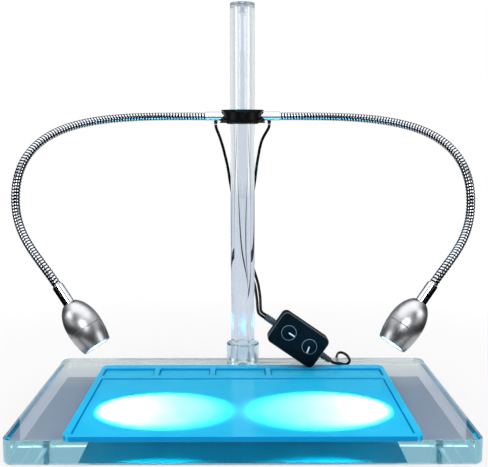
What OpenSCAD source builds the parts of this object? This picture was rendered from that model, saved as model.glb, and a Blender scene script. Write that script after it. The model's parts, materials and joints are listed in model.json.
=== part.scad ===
// Dual gooseneck lamp: two lamp heads on wound metal necks, carried by a hub that slides and
// turns on a clear acrylic column, with a clear base plate, a silicone work mat and a twin
// dimmer on the supply lead. Millimetres, +X to the right, +Y away from the user, +Z up.
// The origin is the centre of the plate's underside.

/* [Base plate] */
// Width of the plate, left to right
plate_w = 470; // [400:1:600]
// Depth of the plate, front to back
plate_d = 288; // [250:1:400]
// Thickness of the plate
plate_t = 26; // [12:1:40]
// Radius of the plate's upright corners
plate_corner_r = 10; // [4:1:30]
// Polished bevel along the plate's top and bottom edges
plate_bevel = 2.5; // [0.5:0.5:4]

/* [Work mat] */
// Width of the mat
mat_w = 350; // [280:1:400]
// Thickness of the mat at its raised border
mat_t = 5; // [4:0.5:8]
// How far the mat's front edge hangs over the plate's front edge
mat_overhang = 4; // [0:0.5:10]
// Space between the mat's back edge and the column's foot ring
mat_to_collar = 4.5; // [1:0.5:20]
// Radius of the mat's corners
mat_corner_r = 8; // [3:1:20]
// Width of the raised border round the working area
mat_border = 7; // [4:0.5:15]
// Depth of the working area below the border
mat_recess = 1.2; // [0.5:0.1:2]
// Width of the three equal trays
tray_w = 62; // [30:1:80]
// Front to back size of the trays
tray_d = 31; // [15:1:45]
// Depth of the trays below the border
tray_recess = 2.5; // [1:0.1:3.5]
// Width of the border between the trays
tray_gap = 6; // [3:0.5:12]
// Width of the border at the ends of the tray row
tray_end = 5; // [3:0.5:12]
// Width of the border behind the tray row
tray_back = 13; // [5:0.5:20]

/* [Column] */
// Outer diameter of the column tube
column_od = 30; // [20:0.5:40]
// Bore of the column tube
column_bore = 14; // [8:0.5:18]
// Height of the tube above the plate
column_h = 448; // [380:1:600]
// Thickness of the disc that closes the tube
cap_t = 4; // [2:0.5:8]
// Length of the cap's spigot in the bore
cap_spigot = 8; // [4:0.5:20]
// Distance from the column's axis to the plate's back edge
column_setback = 25; // [22:1:60]
// Wall of the foot ring round the column
collar_wall = 5.6; // [3:0.2:10]
// Height of the foot ring
collar_h = 28; // [15:1:50]

/* [Hub] */
// Height of the hub's middle above the plate
hub_rise = 315; // [200:1:380]
// Height of the hub
hub_h = 16; // [15:0.5:24]
// Diameter of the hub at its waist
hub_waist_d = 49; // [46:0.5:60]
// How far the hub's top rim stands out from its waist
hub_top_rim = 1.8; // [0.5:0.1:4]
// How far the hub's bottom rim stands out from its waist
hub_bottom_rim = 3.7; // [1:0.1:6]
// Wall of the split bush between hub and column
bush_wall = 3; // [2:0.1:4]
// Width of the slot in the bush
bush_slot = 2; // [1:0.5:4]
// Thickness of the bush's lip under the hub
bush_lip = 1.2; // [0.8:0.1:3]
// Diameter of the clamp screw's shank
clamp_d = 5; // [3:0.5:6]
// Diameter of the clamp screw's knurled head
clamp_head_d = 13; // [8:0.5:15]
// Length of the clamp screw's knurled head
clamp_head_l = 8; // [5:0.5:15]
// Diameter of the set screws that hold the ferrules
set_screw_d = 3; // [2:0.5:4]

/* [Goosenecks] */
// Outer diameter of the wound neck over its ribs
neck_od = 9.6; // [8:0.2:12]
// Bore of the neck
neck_bore = 4; // [3:0.1:5]
// Distance from rib to rib
rib_pitch = 4.8; // [4.8:0.1:8]
// Depth of the groove between ribs
rib_depth = 0.5; // [0.2:0.1:0.8]
// Length of neck held straight in each ferrule
neck_seat = 10; // [10:0.5:14]
// Wall left round the bore at a bending point
bend_wall = 0.6; // [0.5:0.1:1]
// Most that one bending point turns either way, in degrees
bend_limit = 20; // [10:1:25]
// Wall of the ferrules round the neck
ferrule_wall = 0.65; // [0.5:0.05:2]
// Length of the base ferrules that shows outside the hub
base_ferrule_l = 18; // [17:0.5:40]
// Length of the head ferrules that shows outside the head
head_ferrule_l = 23; // [14:0.5:40]
// Wall that the head ferrules have more than the base ferrules
head_ferrule_extra = 0.5; // [0:0.1:1.5]

/* [Left neck as bent] */
// Distance of the neck's widest point from the column's axis
left_reach = 250; // [200:1:300]
// Distance of the widest point in front of the column's axis
left_forward = 126; // [60:1:160]
// Height of the widest point above the plate
left_rise = 223; // [170:1:260]
// Distance of the neck's end from the column's axis
left_head_reach = 197; // [150:1:240]
// Distance of the neck's end in front of the column's axis
left_head_forward = 168; // [120:1:220]
// Height of the neck's end above the plate
left_head_rise = 134; // [110:1:180]
// Inward lean of the head, in degrees from upright
left_head_lean = 35; // [10:0.5:50]

/* [Right neck as bent] */
// Distance of the neck's widest point from the column's axis
right_reach = 251; // [200:1:300]
// Distance of the widest point in front of the column's axis
right_forward = 128; // [60:1:160]
// Height of the widest point above the plate
right_rise = 220; // [170:1:260]
// Distance of the neck's end from the column's axis
right_head_reach = 202; // [150:1:240]
// Distance of the neck's end in front of the column's axis
right_head_forward = 169; // [120:1:220]
// Height of the neck's end above the plate
right_head_rise = 135; // [110:1:180]
// Inward lean of the head, in degrees from upright
right_head_lean = 36.5; // [10:0.5:50]

/* [Lamp heads] */
// Largest diameter of a head
head_d = 38; // [34:0.5:50]
// Length of the rear shell
shell_l = 32; // [28:0.5:45]
// Length of the front bezel
bezel_l = 22; // [18:0.5:30]
// Diameter of the bezel at its front edge
bezel_front_d = 31; // [28:0.5:34]
// Diameter of the shell at the ferrule
shell_neck_d = 15; // [14.5:0.1:18]
// Wall of shell and bezel
head_wall = 1.8; // [1.2:0.1:2.5]
// Length of the bezel's thread in the shell
thread_l = 5; // [3:0.5:8]
// Thickness of the lens
lens_t = 2; // [1:0.1:3]
// Depth of the lens behind the bezel's front edge
lens_setback = 3; // [2:0.5:6]
// Width of the lip that holds the lens
lens_lip = 1; // [0.5:0.1:2]
// Diameter of the light-emitting diode's board
board_d = 20; // [14:0.5:24]
// Thickness of that board
board_t = 1.6; // [1:0.1:3]
// Diameter of the diode's dome
led_d = 5.5; // [3:0.1:7]
// Tilt of the heads towards the user, in degrees
head_tilt = 10.7; // [0:0.1:30]

/* [Dimmer] */
// Length of the dimmer case
case_w = 68; // [60:0.5:90]
// Width of the dimmer case
case_h = 44; // [38:0.5:60]
// Thickness of the dimmer case
case_t = 22; // [20:0.5:30]
// Radius of the case's corners
case_corner_r = 7; // [3:0.5:10]
// Rounding of the case's front and back edges
case_bevel = 1.6; // [0.5:0.1:2]
// Wall of the case
case_wall = 2; // [1.2:0.1:3]
// Diameter of the knobs
knob_d = 19; // [14:0.5:24]
// Height of the knobs above the case
knob_h = 2.4; // [1.5:0.1:6]
// Distance between the knobs' axes
knob_spacing = 30.5; // [26:0.5:34]
// Diameter of the potentiometers' shafts
shaft_d = 6; // [4:0.5:8]
// Distance of the dimmer's middle to the right of the column's axis
dimmer_right = 68.5; // [65:0.5:120]
// Distance of the dimmer's middle in front of the column's axis
dimmer_forward = 31; // [28:0.5:60]
// Turn of the case, clockwise as the user sees it, in degrees
dimmer_turn = 34.5; // [0:0.5:60]
// Backward lean of the case, in degrees
dimmer_lean = 3; // [0:0.5:10]
// Length of the ribbed boots outside the case
boot_l = 15; // [8:0.5:20]

/* [Leads] */
// Diameter of the leads and of the supply cord
lead_d = 3.5; // [3:0.1:4]
// Distance between neighbouring turns of the coiled cord
coil_pitch = 4.1; // [4:0.1:6]
// Radius of the coil's outermost turn
coil_r = 25.5; // [22:0.5:40]
// Turns in each of the coil's two layers
coil_turns = 3; // [2:1:4]
// Thickness of the band that ties the coil
tie_t = 0.7; // [0.4:0.1:1]
// Width of that band
tie_w = 8; // [4:0.5:15]

/* [Hidden] */

// Clearances
seat_clear = 0.1;
slide_clear = 0.06;
turn_clear = 0.05;
rest_clear = 0.3;
cut_over = 1;

// Smoothness of round pieces
fine = 96;
medium = 48;
coarse = 24;

// Places that several pieces share
column_y = plate_d / 2 - column_setback;
column_top = plate_t + column_h;
collar_od = column_od + 2 * collar_wall;
hub_z = plate_t + hub_rise;
hub_axis = [0, column_y, hub_z];
mat_top = plate_t + mat_t;
mat_front = -plate_d / 2 - mat_overhang;
mat_back = column_y - collar_od / 2 - mat_to_collar;
mat_d = mat_back - mat_front;
mat_mid_y = (mat_front + mat_back) / 2;
tray_row_front = mat_back - tray_back - tray_d;
work_back = tray_row_front - mat_border - tray_gap / 2;
wide_tray_w = mat_w - 2 * tray_end - 3 * (tray_w + tray_gap);

// Hub and ferrules
hub_rim_t = 1.2;
hub_rim_slope = 2.4;
hub_max_r = hub_waist_d / 2 + max(hub_top_rim, hub_bottom_rim);
bush_r = column_od / 2 + slide_clear + bush_wall;
bush_lip_out = 1.5;
bush_lip_r = bush_r + bush_lip_out;
neck_seat_r = neck_od / 2 + seat_clear + turn_clear;
base_ferrule_r = neck_seat_r + ferrule_wall;
ferrule_to_bush = 0.7;
base_ferrule_in = bush_r + turn_clear + ferrule_to_bush;
neck_start_x = hub_max_r + base_ferrule_l;
lead_to_neck = 1.2;
lead_exit_x = neck_start_x - neck_seat - lead_d / 2 - lead_to_neck;
neck_stop = 0.8;
grommet_wall = 0.7;
grommet_l = 4;
grommet_in = 1;
grommet_grip = 0.4;
grommet_lip = 0.6;
grommet_lip_t = 1;
set_screw_out = 1;
set_screw_x = (base_ferrule_in + hub_waist_d / 2) / 2 + set_screw_out;

// Bent neck: two cubic stretches that meet at the widest point
spans = 6;
widest_tilt = 6;
pull_hub = 124;
pull_widest_in = 94;
pull_widest_out = 42;
pull_head = 40;
path_steps = 24;
neck_sides = 8;
crest_r = neck_od / 2;
groove_r = crest_r - rib_depth;
bend_spare = 0.03;
bend_end_r = neck_bore / 2 + bend_wall;
bend_half_gap = bend_end_r * tan(bend_limit / 2) + bend_spare;
rib_spare = 0.13;
bend_taper = groove_r * tan(bend_limit / 2) + rib_spare;
bore_steps = 5;

// The arm on one side, -1 left and 1 right: widest point, end of the neck and the head's lean
function arm(side) = side < 0
    ? [[-left_reach, column_y - left_forward, plate_t + left_rise],
       [-left_head_reach, column_y - left_head_forward, plate_t + left_head_rise], left_head_lean]
    : [[right_reach, column_y - right_forward, plate_t + right_rise],
       [right_head_reach, column_y - right_head_forward, plate_t + right_head_rise], right_head_lean];
function unit(v) = v / norm(v);
function head_dir(side) = [
    -side * sin(arm(side)[2]) * cos(head_tilt), -sin(head_tilt), -cos(arm(side)[2]) * cos(head_tilt)
];
function neck_root(side) = [side * neck_start_x, column_y, hub_z];
function cubic(p, t) =
    pow(1 - t, 3) * p[0] + 3 * pow(1 - t, 2) * t * p[1] + 3 * (1 - t) * t * t * p[2] + t * t * t * p[3];
widest_dir = [0, -sin(widest_tilt), -cos(widest_tilt)];
function first_stretch(side) = let (a = neck_root(side), w = arm(side)[0])
    [a, a + [side * pull_hub, 0, 0], w - pull_widest_in * widest_dir, w];
function second_stretch(side) = let (w = arm(side)[0], e = arm(side)[1])
    [w, w + pull_widest_out * widest_dir, e - pull_head * head_dir(side), e];
function bend_point(side, u) =
    u < 1 ? cubic(first_stretch(side), u) : cubic(second_stretch(side), u - 1);
function run_up(side, i = 0, total = 0) = i > 2 * path_steps ? []
    : let (step = i == 0 ? 0
        : norm(bend_point(side, i / path_steps) - bend_point(side, (i - 1) / path_steps)))
      concat([[total + step, i / path_steps]], run_up(side, i + 1, total + step));
left_run = run_up(-1);
right_run = run_up(1);
function run(side) = side < 0 ? left_run : right_run;
function neck_length(side) = run(side)[2 * path_steps][0];

// Point and direction on the neck's centreline, a distance s from the base ferrule's mouth
function neck_at(side, s) =
    s < 0 ? neck_root(side) + [side * s, 0, 0]
    : s > neck_length(side) ? arm(side)[1] + (s - neck_length(side)) * head_dir(side)
    : bend_point(side, min(lookup(s, run(side)), 1.9999));
function neck_dir(side, s) = unit(neck_at(side, s + 0.05) - neck_at(side, s - 0.05));
function bend_s(side, k) = neck_length(side) * k / spans;

// Axes across the neck: the curl axis faces the user, the swing axis points up
function arm_normal(side) =
    -side * unit(cross(arm(side)[0] - neck_root(side), arm(side)[1] - arm(side)[0]));
function curl_axis(side, s) = let (t = neck_dir(side, s), n = arm_normal(side)) unit(n - (n * t) * t);
function swing_axis(side, s) = side * cross(curl_axis(side, s), neck_dir(side, s));

// Lamp head, along its own axis from the ferrule's mouth
head_z = head_ferrule_l;
seam_z = head_z + shell_l;
front_z = seam_z + bezel_l;
bulge_back = 3;
bulge_z = seam_z - bulge_back;
rear_pull = (bulge_z - head_z) / sqrt(1 - pow(shell_neck_d / head_d, 2));
front_pull = (front_z - bulge_z) / sqrt(1 - pow(bezel_front_d / head_d, 2));
function egg_r(z) = head_d / 2 * sqrt(1 - pow((z - bulge_z) / (z < bulge_z ? rear_pull : front_pull), 2));
shell_steps = 10;
bezel_steps = 8;
head_ferrule_r = base_ferrule_r + head_ferrule_extra;
ferrule_plug = 6;
sink_z = head_z + shell_l * 0.5;
wire_r = 2;
thread_r = egg_r(seam_z) - head_wall;
thread_wall = 1.2;
lens_front_z = front_z - lens_setback;
lens_back_z = lens_front_z - lens_t;
lens_r = egg_r(lens_front_z) - head_wall - seat_clear;
led_base_z = sink_z + board_t;
led_h = 3;
reflector_wall = 0.6;
reflector_foot = 1.5;
reflector_foot_h = 2;
reflector_lift = 0.4;
reflector_z = led_base_z + reflector_lift;
led_gap = 1;
lens_seat = 1;
lens_relief = 2.5;

// Dimmer: its own frame has +X along the case, +Y across it and +Z out of its face
case_low = ((case_w / 2 - case_corner_r) * sin(dimmer_turn)
    + (case_h / 2 - case_corner_r) * cos(dimmer_turn) + case_corner_r) * cos(dimmer_lean)
    + case_t / 2 * sin(dimmer_lean);
dimmer_place = [dimmer_right, column_y - dimmer_forward, mat_top + rest_clear + case_low];
knob_y = 1.4;
knob_gap = 0.3;
pointer_w = 1.6;
pointer_h = 0.35;
pointer_sink = 0.2;
pointer_inset = 1.2;
knob_edge = 0.8;
left_pointer_turn = 0;
right_pointer_turn = -77;
board_end_gap = 4;
board_side_gap = 3;
board_w = case_w - 2 * (case_wall + board_end_gap);
board_h = case_h - 2 * (case_wall + board_side_gap);
dimmer_board_t = 1.6;
pot_w = 13;
pot_t = 6;
pot_floor = 1;
pot_top = case_t / 2 - case_wall - seat_clear;
pot_bottom = pot_top - pot_t;
post_r = 3;
post_x = case_w / 2 - case_wall - post_r;
post_y = case_h / 2 - case_wall - post_r;
pilot_r = 1.1;
screw_head_r = 2.2;
screw_head_t = 1.6;
screw_l = 14;
boot_r = 4.4;
boot_tip_r = 3.4;
boot_ribs = 5;
boot_rib_h = 0.7;
boot_flange = 1.5;
boot_flange_t = 1.5;
boot_bore_r = 1.2;

// Leads, from the grommets under the base ferrules to the dimmer's inlet
lead_sides = 8;
left_upper_route = [
    [-33.2, 119, 331.1], [-33.2, 119, 329.3], [-32.2, 119.2, 325.5], [-30, 119.8, 320], [-27.2, 120.9, 312],
    [-24.2, 122.2, 302]
];
right_upper_route = [
    [33.2, 119, 331.1], [33.2, 119, 329.5], [32, 119.1, 326], [28.8, 119.6, 320.5], [24.6, 120.4, 312.5],
    [21.6, 121.8, 302]
];
left_lower_route = [
    [-24.1, 122.3, 301.5], [-22.4, 123.5, 294.5], [-20.6, 125.3, 287], [-19, 127.5, 279.5], [-17.6, 130, 271],
    [-16.2, 132.3, 261], [-14.4, 134.3, 250], [-12.3, 135.6, 238], [-10.4, 136.4, 226], [-8.8, 137, 214],
    [-7.2, 137.3, 202], [-5.5, 137.5, 190], [-3.5, 137.5, 178.5], [-0.8, 137.4, 167.5], [2.6, 137, 157],
    [6.6, 136, 147.5], [10.6, 133.8, 139], [13.8, 130.5, 131.5], [15.9, 126, 124.5], [17, 120.5, 118],
    [17.8, 114, 112.2], [18.2, 107.5, 108], [18.4, 101, 104.2], [19, 95, 100.2], [20, 91.2, 97.9],
    [22, 89.6, 96.1], [26.9, 89.4, 92.7]
];
right_lower_route = [
    [21.5, 121.9, 301.5], [20.3, 123.3, 295], [19, 125.3, 287.5], [17.9, 127.6, 280], [17, 130, 272],
    [15.9, 132.5, 262.5], [14.4, 134.5, 252], [12.7, 136, 241], [11.2, 137, 230], [10.1, 137.5, 218.5],
    [9.4, 137.8, 207], [9, 137.8, 195.5], [9, 137.8, 184], [9.5, 137.6, 173], [10.6, 137.2, 162.5],
    [12.4, 136.4, 152.5], [14.9, 134.6, 143.5], [17.6, 131.4, 135.5], [19.7, 126.8, 128.5], [21, 121, 122],
    [21.8, 114.5, 116.3], [22.2, 107.5, 111.6], [22.2, 101, 107.5], [22.4, 95, 103.6], [22.8, 91.3, 101.2],
    [24.2, 89.7, 99.3], [29.1, 89.5, 95.9]
];

// Supply cord, from the dimmer's outlet over the plate's back edge to the coil on the table
cord_route = [
    [109.2, 86.5, 38.5], [113.1, 86.8, 36], [116.9, 88.8, 34.4], [120.6, 92.4, 33.3], [124.2, 96.8, 31.7],
    [128, 101.4, 29.5], [131.8, 106.2, 28.2], [135.2, 111.4, 28.2], [137.3, 117, 29.6], [136.6, 122.4, 32.3],
    [133.8, 126.8, 35], [130.1, 130, 36.4], [127, 133.4, 35.9], [125.4, 137.4, 34], [124.8, 141.4, 31.7],
    [124.5, 145.2, 28.9], [124.1, 147.8, 24.8], [123.2, 149.4, 19.6], [120.8, 150.4, 13.9], [115.8, 151.2, 8.4],
    [107.8, 152, 4.7], [98.6, 152.4, 3.05], [90.9, 152.5, 2.75], [84.4, 152.5, 2.75]
];

// Coil: spirals in along the lower layer, climbs in half a turn and spirals out above
coil_rings = 24;
coil_sides = 6;
cord_joint = 0.4;
coil_start = cord_route[len(cord_route) - 1] - [cord_joint, 0, 0];
coil_layer_gap = 0.55;
coil_layer = lead_d + coil_layer_gap;
coil_mid = coil_start + [0, coil_r, 0];
function smooth(t) = let (x = max(0, min(1, t))) x * x * (3 - 2 * x);
function coil_at(turn) = let (
    r = coil_r - coil_pitch * min(turn, 2 * coil_turns - turn),
    a = -90 - 360 * turn
) coil_mid + [r * cos(a), r * sin(a), coil_layer * smooth((turn - coil_turns + 0.25) * 2)];
coil_count = 2 * coil_turns * coil_rings;
coil_turned = [for (i = [0:coil_count]) coil_at(i / coil_rings)];
coil_end = coil_turned[coil_count];

// Tail that leaves the coil's upper layer and comes down to the plug on the table
plug_h = 8;
plug_lift = 0.2;
plug_z = plug_h / 2 + plug_lift;
tail_l = 28;
tail_straight = 4;
tail_level = 9;
tail_steps = 7;
tail_slope = tail_l - tail_straight - tail_level;
function tail_drop(d) = (coil_end[2] - plug_z) * smooth((d - tail_level) / tail_slope);
coil_tail = [for (i = [1:tail_steps]) let (d = tail_l * i / tail_steps) coil_end - [d, 0, tail_drop(d)]];
coil_line = concat(coil_turned, coil_tail);
coil_last = len(coil_line) - 1;
coil_gap = min([for (i = [0:coil_last - coil_rings / 2]) for (j = [i + coil_rings / 2:coil_last])
    norm(coil_line[i] - coil_line[j])]) - lead_d;

// Plug at the end of the tail
plug_start = coil_line[coil_last];
plug_l = 26;
plug_w = 15;
plug_neck_l = 9;
usb_w = 12;
usb_h = 4.5;
usb_l = 18;
usb_wall = 0.4;
usb_in = 5;
plug_neck_wall = 0.7;
plug_root_wall = 1.6;
tongue_t = 1.8;
tongue_back = 2;
window_w = 2.4;
window_x = 5;
window_y = 2.8;

// Length of a line of points
function line_length(p, i = 1) = i >= len(p) ? 0 : norm(p[i] - p[i - 1]) + line_length(p, i + 1);
echo(coil_least_gap = coil_gap);
echo(cord_lengths = [line_length(left_upper_route) + line_length(left_lower_route),
    line_length(right_upper_route) + line_length(right_lower_route),
    line_length(cord_route), line_length(coil_line)]);
echo(dimmer_place = dimmer_place, knob_places = [[-knob_spacing / 2, knob_y], [knob_spacing / 2, knob_y]]);
for (side = [-1, 1]) {
    echo(neck_side = side, neck_length = neck_length(side), head_dir = head_dir(side));
    for (k = [1:spans - 1]) {
        s = bend_s(side, k);
        echo(bend = k, at = neck_at(side, s), curl = curl_axis(side, s), swing = swing_axis(side, s));
    }
}

// Directions along a line of points, and rings of points across it
function line_dirs(p) = let (n = len(p) - 1)
    [for (i = [0:n]) unit(p[min(i + 1, n)] - p[max(i - 1, 0)])];
function carried(dirs, u, i = 0) = i >= len(dirs) ? []
    : let (v = unit(u - (u * dirs[i]) * dirs[i])) concat([v], carried(dirs, v, i + 1));
function ring(c, t, u, r, sides) = let (v = cross(t, u))
    [for (j = [0:sides - 1]) c + r * (cos(360 * (j + 0.5) / sides) * u + sin(360 * (j + 0.5) / sides) * v)];
function flat(lists) = [for (l = lists) each l];

// Closed tube along a line of points
module cord_tube(line, r, sides, first_u) {
    dirs = line_dirs(line);
    us = carried(dirs, first_u);
    n = len(line);
    points = flat([for (i = [0:n - 1]) ring(line[i], dirs[i], us[i], r, sides)]);
    walls = [for (i = [0:n - 2]) for (j = [0:sides - 1]) let (
        a = i * sides + j,
        b = i * sides + (j + 1) % sides
    ) each [[a, b + sides, b], [a, a + sides, b + sides]]];
    start = [for (j = [1:sides - 2]) [0, j, j + 1]];
    end = [for (j = [1:sides - 2]) [(n - 1) * sides, (n - 1) * sides + j + 1, (n - 1) * sides + j]];
    polyhedron(points, concat(walls, start, end), convexity = 10);
}

// Ribbed tube with a bore, from lists of [distance along the neck, radius]
module neck_tube(side, outside, bore) {
    sides = neck_sides;
    stations = concat(outside, bore);
    points = flat([for (q = stations) let (t = neck_dir(side, q[0]))
        ring(neck_at(side, q[0]), t, swing_axis(side, q[0]), q[1], sides)]);
    last = len(outside) - 1;
    first_in = len(outside);
    last_in = len(stations) - 1;
    walls = [for (i = [0:last - 1]) for (j = [0:sides - 1]) let (
        a = i * sides + j,
        b = i * sides + (j + 1) % sides
    ) each [[a, b + sides, b], [a, a + sides, b + sides]]];
    inside = [for (i = [first_in:last_in - 1]) for (j = [0:sides - 1]) let (
        a = i * sides + j,
        b = i * sides + (j + 1) % sides
    ) each [[a, b, b + sides], [a, b + sides, a + sides]]];
    start = [for (j = [0:sides - 1]) let (k = (j + 1) % sides)
        each [[j, k, first_in * sides + k], [j, first_in * sides + k, first_in * sides + j]]];
    end = [for (j = [0:sides - 1]) let (
        k = (j + 1) % sides,
        o = last * sides,
        q = last_in * sides
    ) each [[o + j, q + k, o + k], [o + j, q + j, q + k]]];
    polyhedron(points, concat(walls, inside, start, end), convexity = 10);
}

// Block with round upright corners, standing on z = 0
module slab(w, d, h, r) {
    translate([-w / 2 + r, -d / 2, 0]) cube([w - 2 * r, d, h]);
    translate([-w / 2, -d / 2 + r, 0]) cube([w, d - 2 * r, h]);
    for (x = [-1, 1], y = [-1, 1])
        translate([x * (w / 2 - r), y * (d / 2 - r), 0]) cylinder(r = r, h = h, $fn = medium);
}

// Long bar whose section is a rectangle with bevelled corners
module bevelled_bar(length, w, h, b) {
    translate([0, 0, -length / 2]) linear_extrude(length)
        polygon([[-w / 2 + b, 0], [w / 2 - b, 0], [w / 2, b], [w / 2, h - b],
                 [w / 2 - b, h], [-w / 2 + b, h], [-w / 2, h - b], [-w / 2, b]]);
}

// Clear acrylic base plate
module base_plate() {
    color("LightCyan", 0.4) intersection() {
        slab(plate_w, plate_d, plate_t, plate_corner_r);
        rotate([90, 0, 0]) bevelled_bar(plate_d, plate_w, plate_t, plate_bevel);
        rotate([90, 0, 90]) bevelled_bar(plate_w, plate_d, plate_t, plate_bevel);
    }
}

// Silicone mat with a sunken working area and a row of trays behind it
module work_mat() {
    color("DeepSkyBlue") difference() {
        translate([0, mat_mid_y, plate_t]) slab(mat_w, mat_d, mat_t, mat_corner_r);
        translate([0, (mat_front + mat_border + work_back) / 2, mat_top - mat_recess])
            slab(mat_w - 2 * mat_border, work_back - mat_front - mat_border,
                 mat_recess + cut_over, mat_corner_r / 2);
        for (i = [0:3]) {
            w = i < 3 ? tray_w : wide_tray_w;
            translate([-mat_w / 2 + tray_end + i * (tray_w + tray_gap) + w / 2,
                       tray_row_front + tray_d / 2, mat_top - tray_recess])
                slab(w, tray_d, tray_recess + cut_over, mat_corner_r / 4);
        }
    }
}

// Clear acrylic column tube
module column() {
    color("LightCyan", 0.4) translate([0, column_y, plate_t]) difference() {
        cylinder(d = column_od, h = column_h, $fn = fine);
        translate([0, 0, -cut_over]) cylinder(d = column_bore, h = column_h + 2 * cut_over, $fn = fine);
    }
}

// Disc with a spigot that closes the column
module column_cap() {
    color("LightCyan", 0.5) translate([0, column_y, column_top]) {
        cylinder(d = column_od, h = cap_t, $fn = fine);
        translate([0, 0, -cap_spigot])
            cylinder(r = column_bore / 2 - seat_clear, h = cap_spigot + cut_over, $fn = fine);
    }
}

// Clear ring bonded to the plate round the column's foot
module column_collar() {
    r = collar_od / 2;
    rim = collar_wall / 4;
    color("PaleTurquoise", 0.5) translate([0, column_y, plate_t]) rotate_extrude($fn = fine)
        polygon([[column_od / 2 + seat_clear, 0], [r, 0], [r, collar_h - rim], [r - rim, collar_h],
                 [column_od / 2 + seat_clear, collar_h]]);
}

// Black hub, a spool with a waist and two side sockets for the ferrules
module hub_body() {
    w = hub_waist_d / 2;
    t = w + hub_top_rim;
    b = w + hub_bottom_rim;
    bore_r = bush_r + turn_clear;
    half = hub_h / 2;
    color([0.08, 0.08, 0.09]) translate(hub_axis) difference() {
        rotate_extrude($fn = fine)
            polygon([[bore_r, -half], [b, -half], [b, -half + hub_rim_t],
                     [w, -half + hub_rim_t + hub_rim_slope], [w, half - hub_rim_t - hub_rim_slope],
                     [t, half - hub_rim_t], [t, half], [bore_r, half]]);
        for (side = [-1, 1]) {
            rotate([0, side * 90, 0])
                cylinder(r = base_ferrule_r + seat_clear, h = hub_max_r + cut_over, $fn = medium);
            translate([side * set_screw_x, 0, -half - cut_over])
                cylinder(r = set_screw_d / 2 + seat_clear, h = half + cut_over, $fn = coarse);
        }
        rotate([-90, 0, 0])
            cylinder(r = clamp_d / 2 + turn_clear, h = hub_max_r + cut_over, $fn = medium);
    }
}

// Split bush that grips the column inside the hub
module hub_bush() {
    half = hub_h / 2;
    inner = column_od / 2 + slide_clear;
    color([0.2, 0.2, 0.22]) translate(hub_axis) difference() {
        rotate_extrude($fn = fine)
            polygon([[inner, -half - bush_lip], [bush_lip_r, -half - bush_lip],
                     [bush_lip_r, -half - turn_clear], [bush_r, -half - turn_clear],
                     [bush_r, half], [inner, half]]);
        rotate([0, 0, -45]) translate([0, -bush_slot / 2, -hub_h])
            cube([bush_lip_r + cut_over, bush_slot, 2 * hub_h]);
    }
}

// Clamp screw in the hub's back, with a knurled head
module clamp_screw() {
    knurls = 18;
    knurl_r = 0.8;
    knurl_out = 0.3;
    edge = 1;
    tip = bush_r + turn_clear;
    head = hub_max_r + rest_clear;
    color("DimGray") translate(hub_axis) rotate([-90, 0, 0]) difference() {
        rotate_extrude($fn = medium)
            polygon([[0, tip], [clamp_d / 2, tip], [clamp_d / 2, head], [clamp_head_d / 2, head],
                     [clamp_head_d / 2, head + clamp_head_l - edge],
                     [clamp_head_d / 2 - edge, head + clamp_head_l], [0, head + clamp_head_l]]);
        for (i = [0:knurls - 1])
            rotate([0, 0, 360 * i / knurls]) translate([clamp_head_d / 2 + knurl_out, 0, head - cut_over])
                cylinder(r = knurl_r, h = clamp_head_l + 2 * cut_over, $fn = coarse);
    }
}

// Two set screws under the hub, one against each ferrule
module ferrule_set_screws() {
    top = -base_ferrule_r - seat_clear;
    bottom = -hub_h / 2;
    color("DimGray") for (side = [-1, 1])
        translate(hub_axis + [side * set_screw_x, 0, bottom]) difference() {
            cylinder(r = set_screw_d / 2, h = top - bottom, $fn = coarse);
            translate([0, 0, -cut_over])
                cylinder(r = set_screw_d / 4, h = cut_over + set_screw_d / 3, $fn = 6);
        }
}

// Chrome ferrule between hub and neck, with a hole below for the lead's grommet
module base_ferrule(side) {
    in_r = groove_r - neck_stop;
    step_x = neck_start_x - neck_seat - seat_clear;
    color("Silver") translate(hub_axis) difference() {
        rotate([0, side * 90, 0]) rotate_extrude($fn = medium)
            polygon([[in_r, base_ferrule_in], [base_ferrule_r, base_ferrule_in],
                     [base_ferrule_r, neck_start_x], [neck_seat_r, neck_start_x],
                     [neck_seat_r, step_x], [in_r, step_x]]);
        translate([side * lead_exit_x, 0, -base_ferrule_r - cut_over])
            cylinder(r = lead_d / 2 + grommet_wall + seat_clear, h = base_ferrule_r + cut_over, $fn = medium);
    }
}

// Rubber grommet where the lead leaves the ferrule
module lead_grommet(side) {
    r = lead_d / 2 + grommet_wall;
    bore_r = lead_d / 2 - grommet_grip;
    lip_r = r + grommet_lip;
    slope = grommet_lip / 2;
    color([0.1, 0.1, 0.1]) translate(hub_axis + [side * lead_exit_x, 0, -base_ferrule_r])
        rotate_extrude($fn = medium)
            polygon([[bore_r, grommet_in], [r, grommet_in], [r, -slope], [lip_r, -2 * slope],
                     [lip_r, -2 * slope - grommet_lip_t], [lead_d / 2, -grommet_l], [bore_r, -grommet_l]]);
}

// One span of a wound neck, between two bending points or in a ferrule
module neck_span(side, k) {
    first = k == 1;
    last = k == spans;
    a = first ? -neck_seat : bend_s(side, k - 1) + bend_half_gap;
    b = last ? neck_length(side) + neck_seat : bend_s(side, k) - bend_half_gap;
    rib_a = first ? a : bend_s(side, k - 1) + bend_taper;
    rib_b = last ? b : bend_s(side, k) - bend_taper;
    ribs = floor((rib_b - rib_a) / rib_pitch);
    step = (rib_b - rib_a) / ribs;
    outside = concat(
        first ? [] : [[a, bend_end_r]],
        [for (i = [0:ribs - 1]) each [[rib_a + i * step, groove_r], [rib_a + (i + 0.5) * step, crest_r]]],
        [[rib_b, groove_r]],
        last ? [] : [[b, bend_end_r]]
    );
    bore = [for (i = [0:bore_steps]) [a + (b - a) * i / bore_steps, neck_bore / 2]];
    color("Silver") neck_tube(side, outside, bore);
}

// Puts a piece that is drawn along +Z onto a head's axis, from the ferrule's mouth
module on_head(side) {
    d = head_dir(side);
    translate(arm(side)[1]) rotate([0, acos(d[2]), atan2(d[1], d[0])]) children();
}

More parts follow.
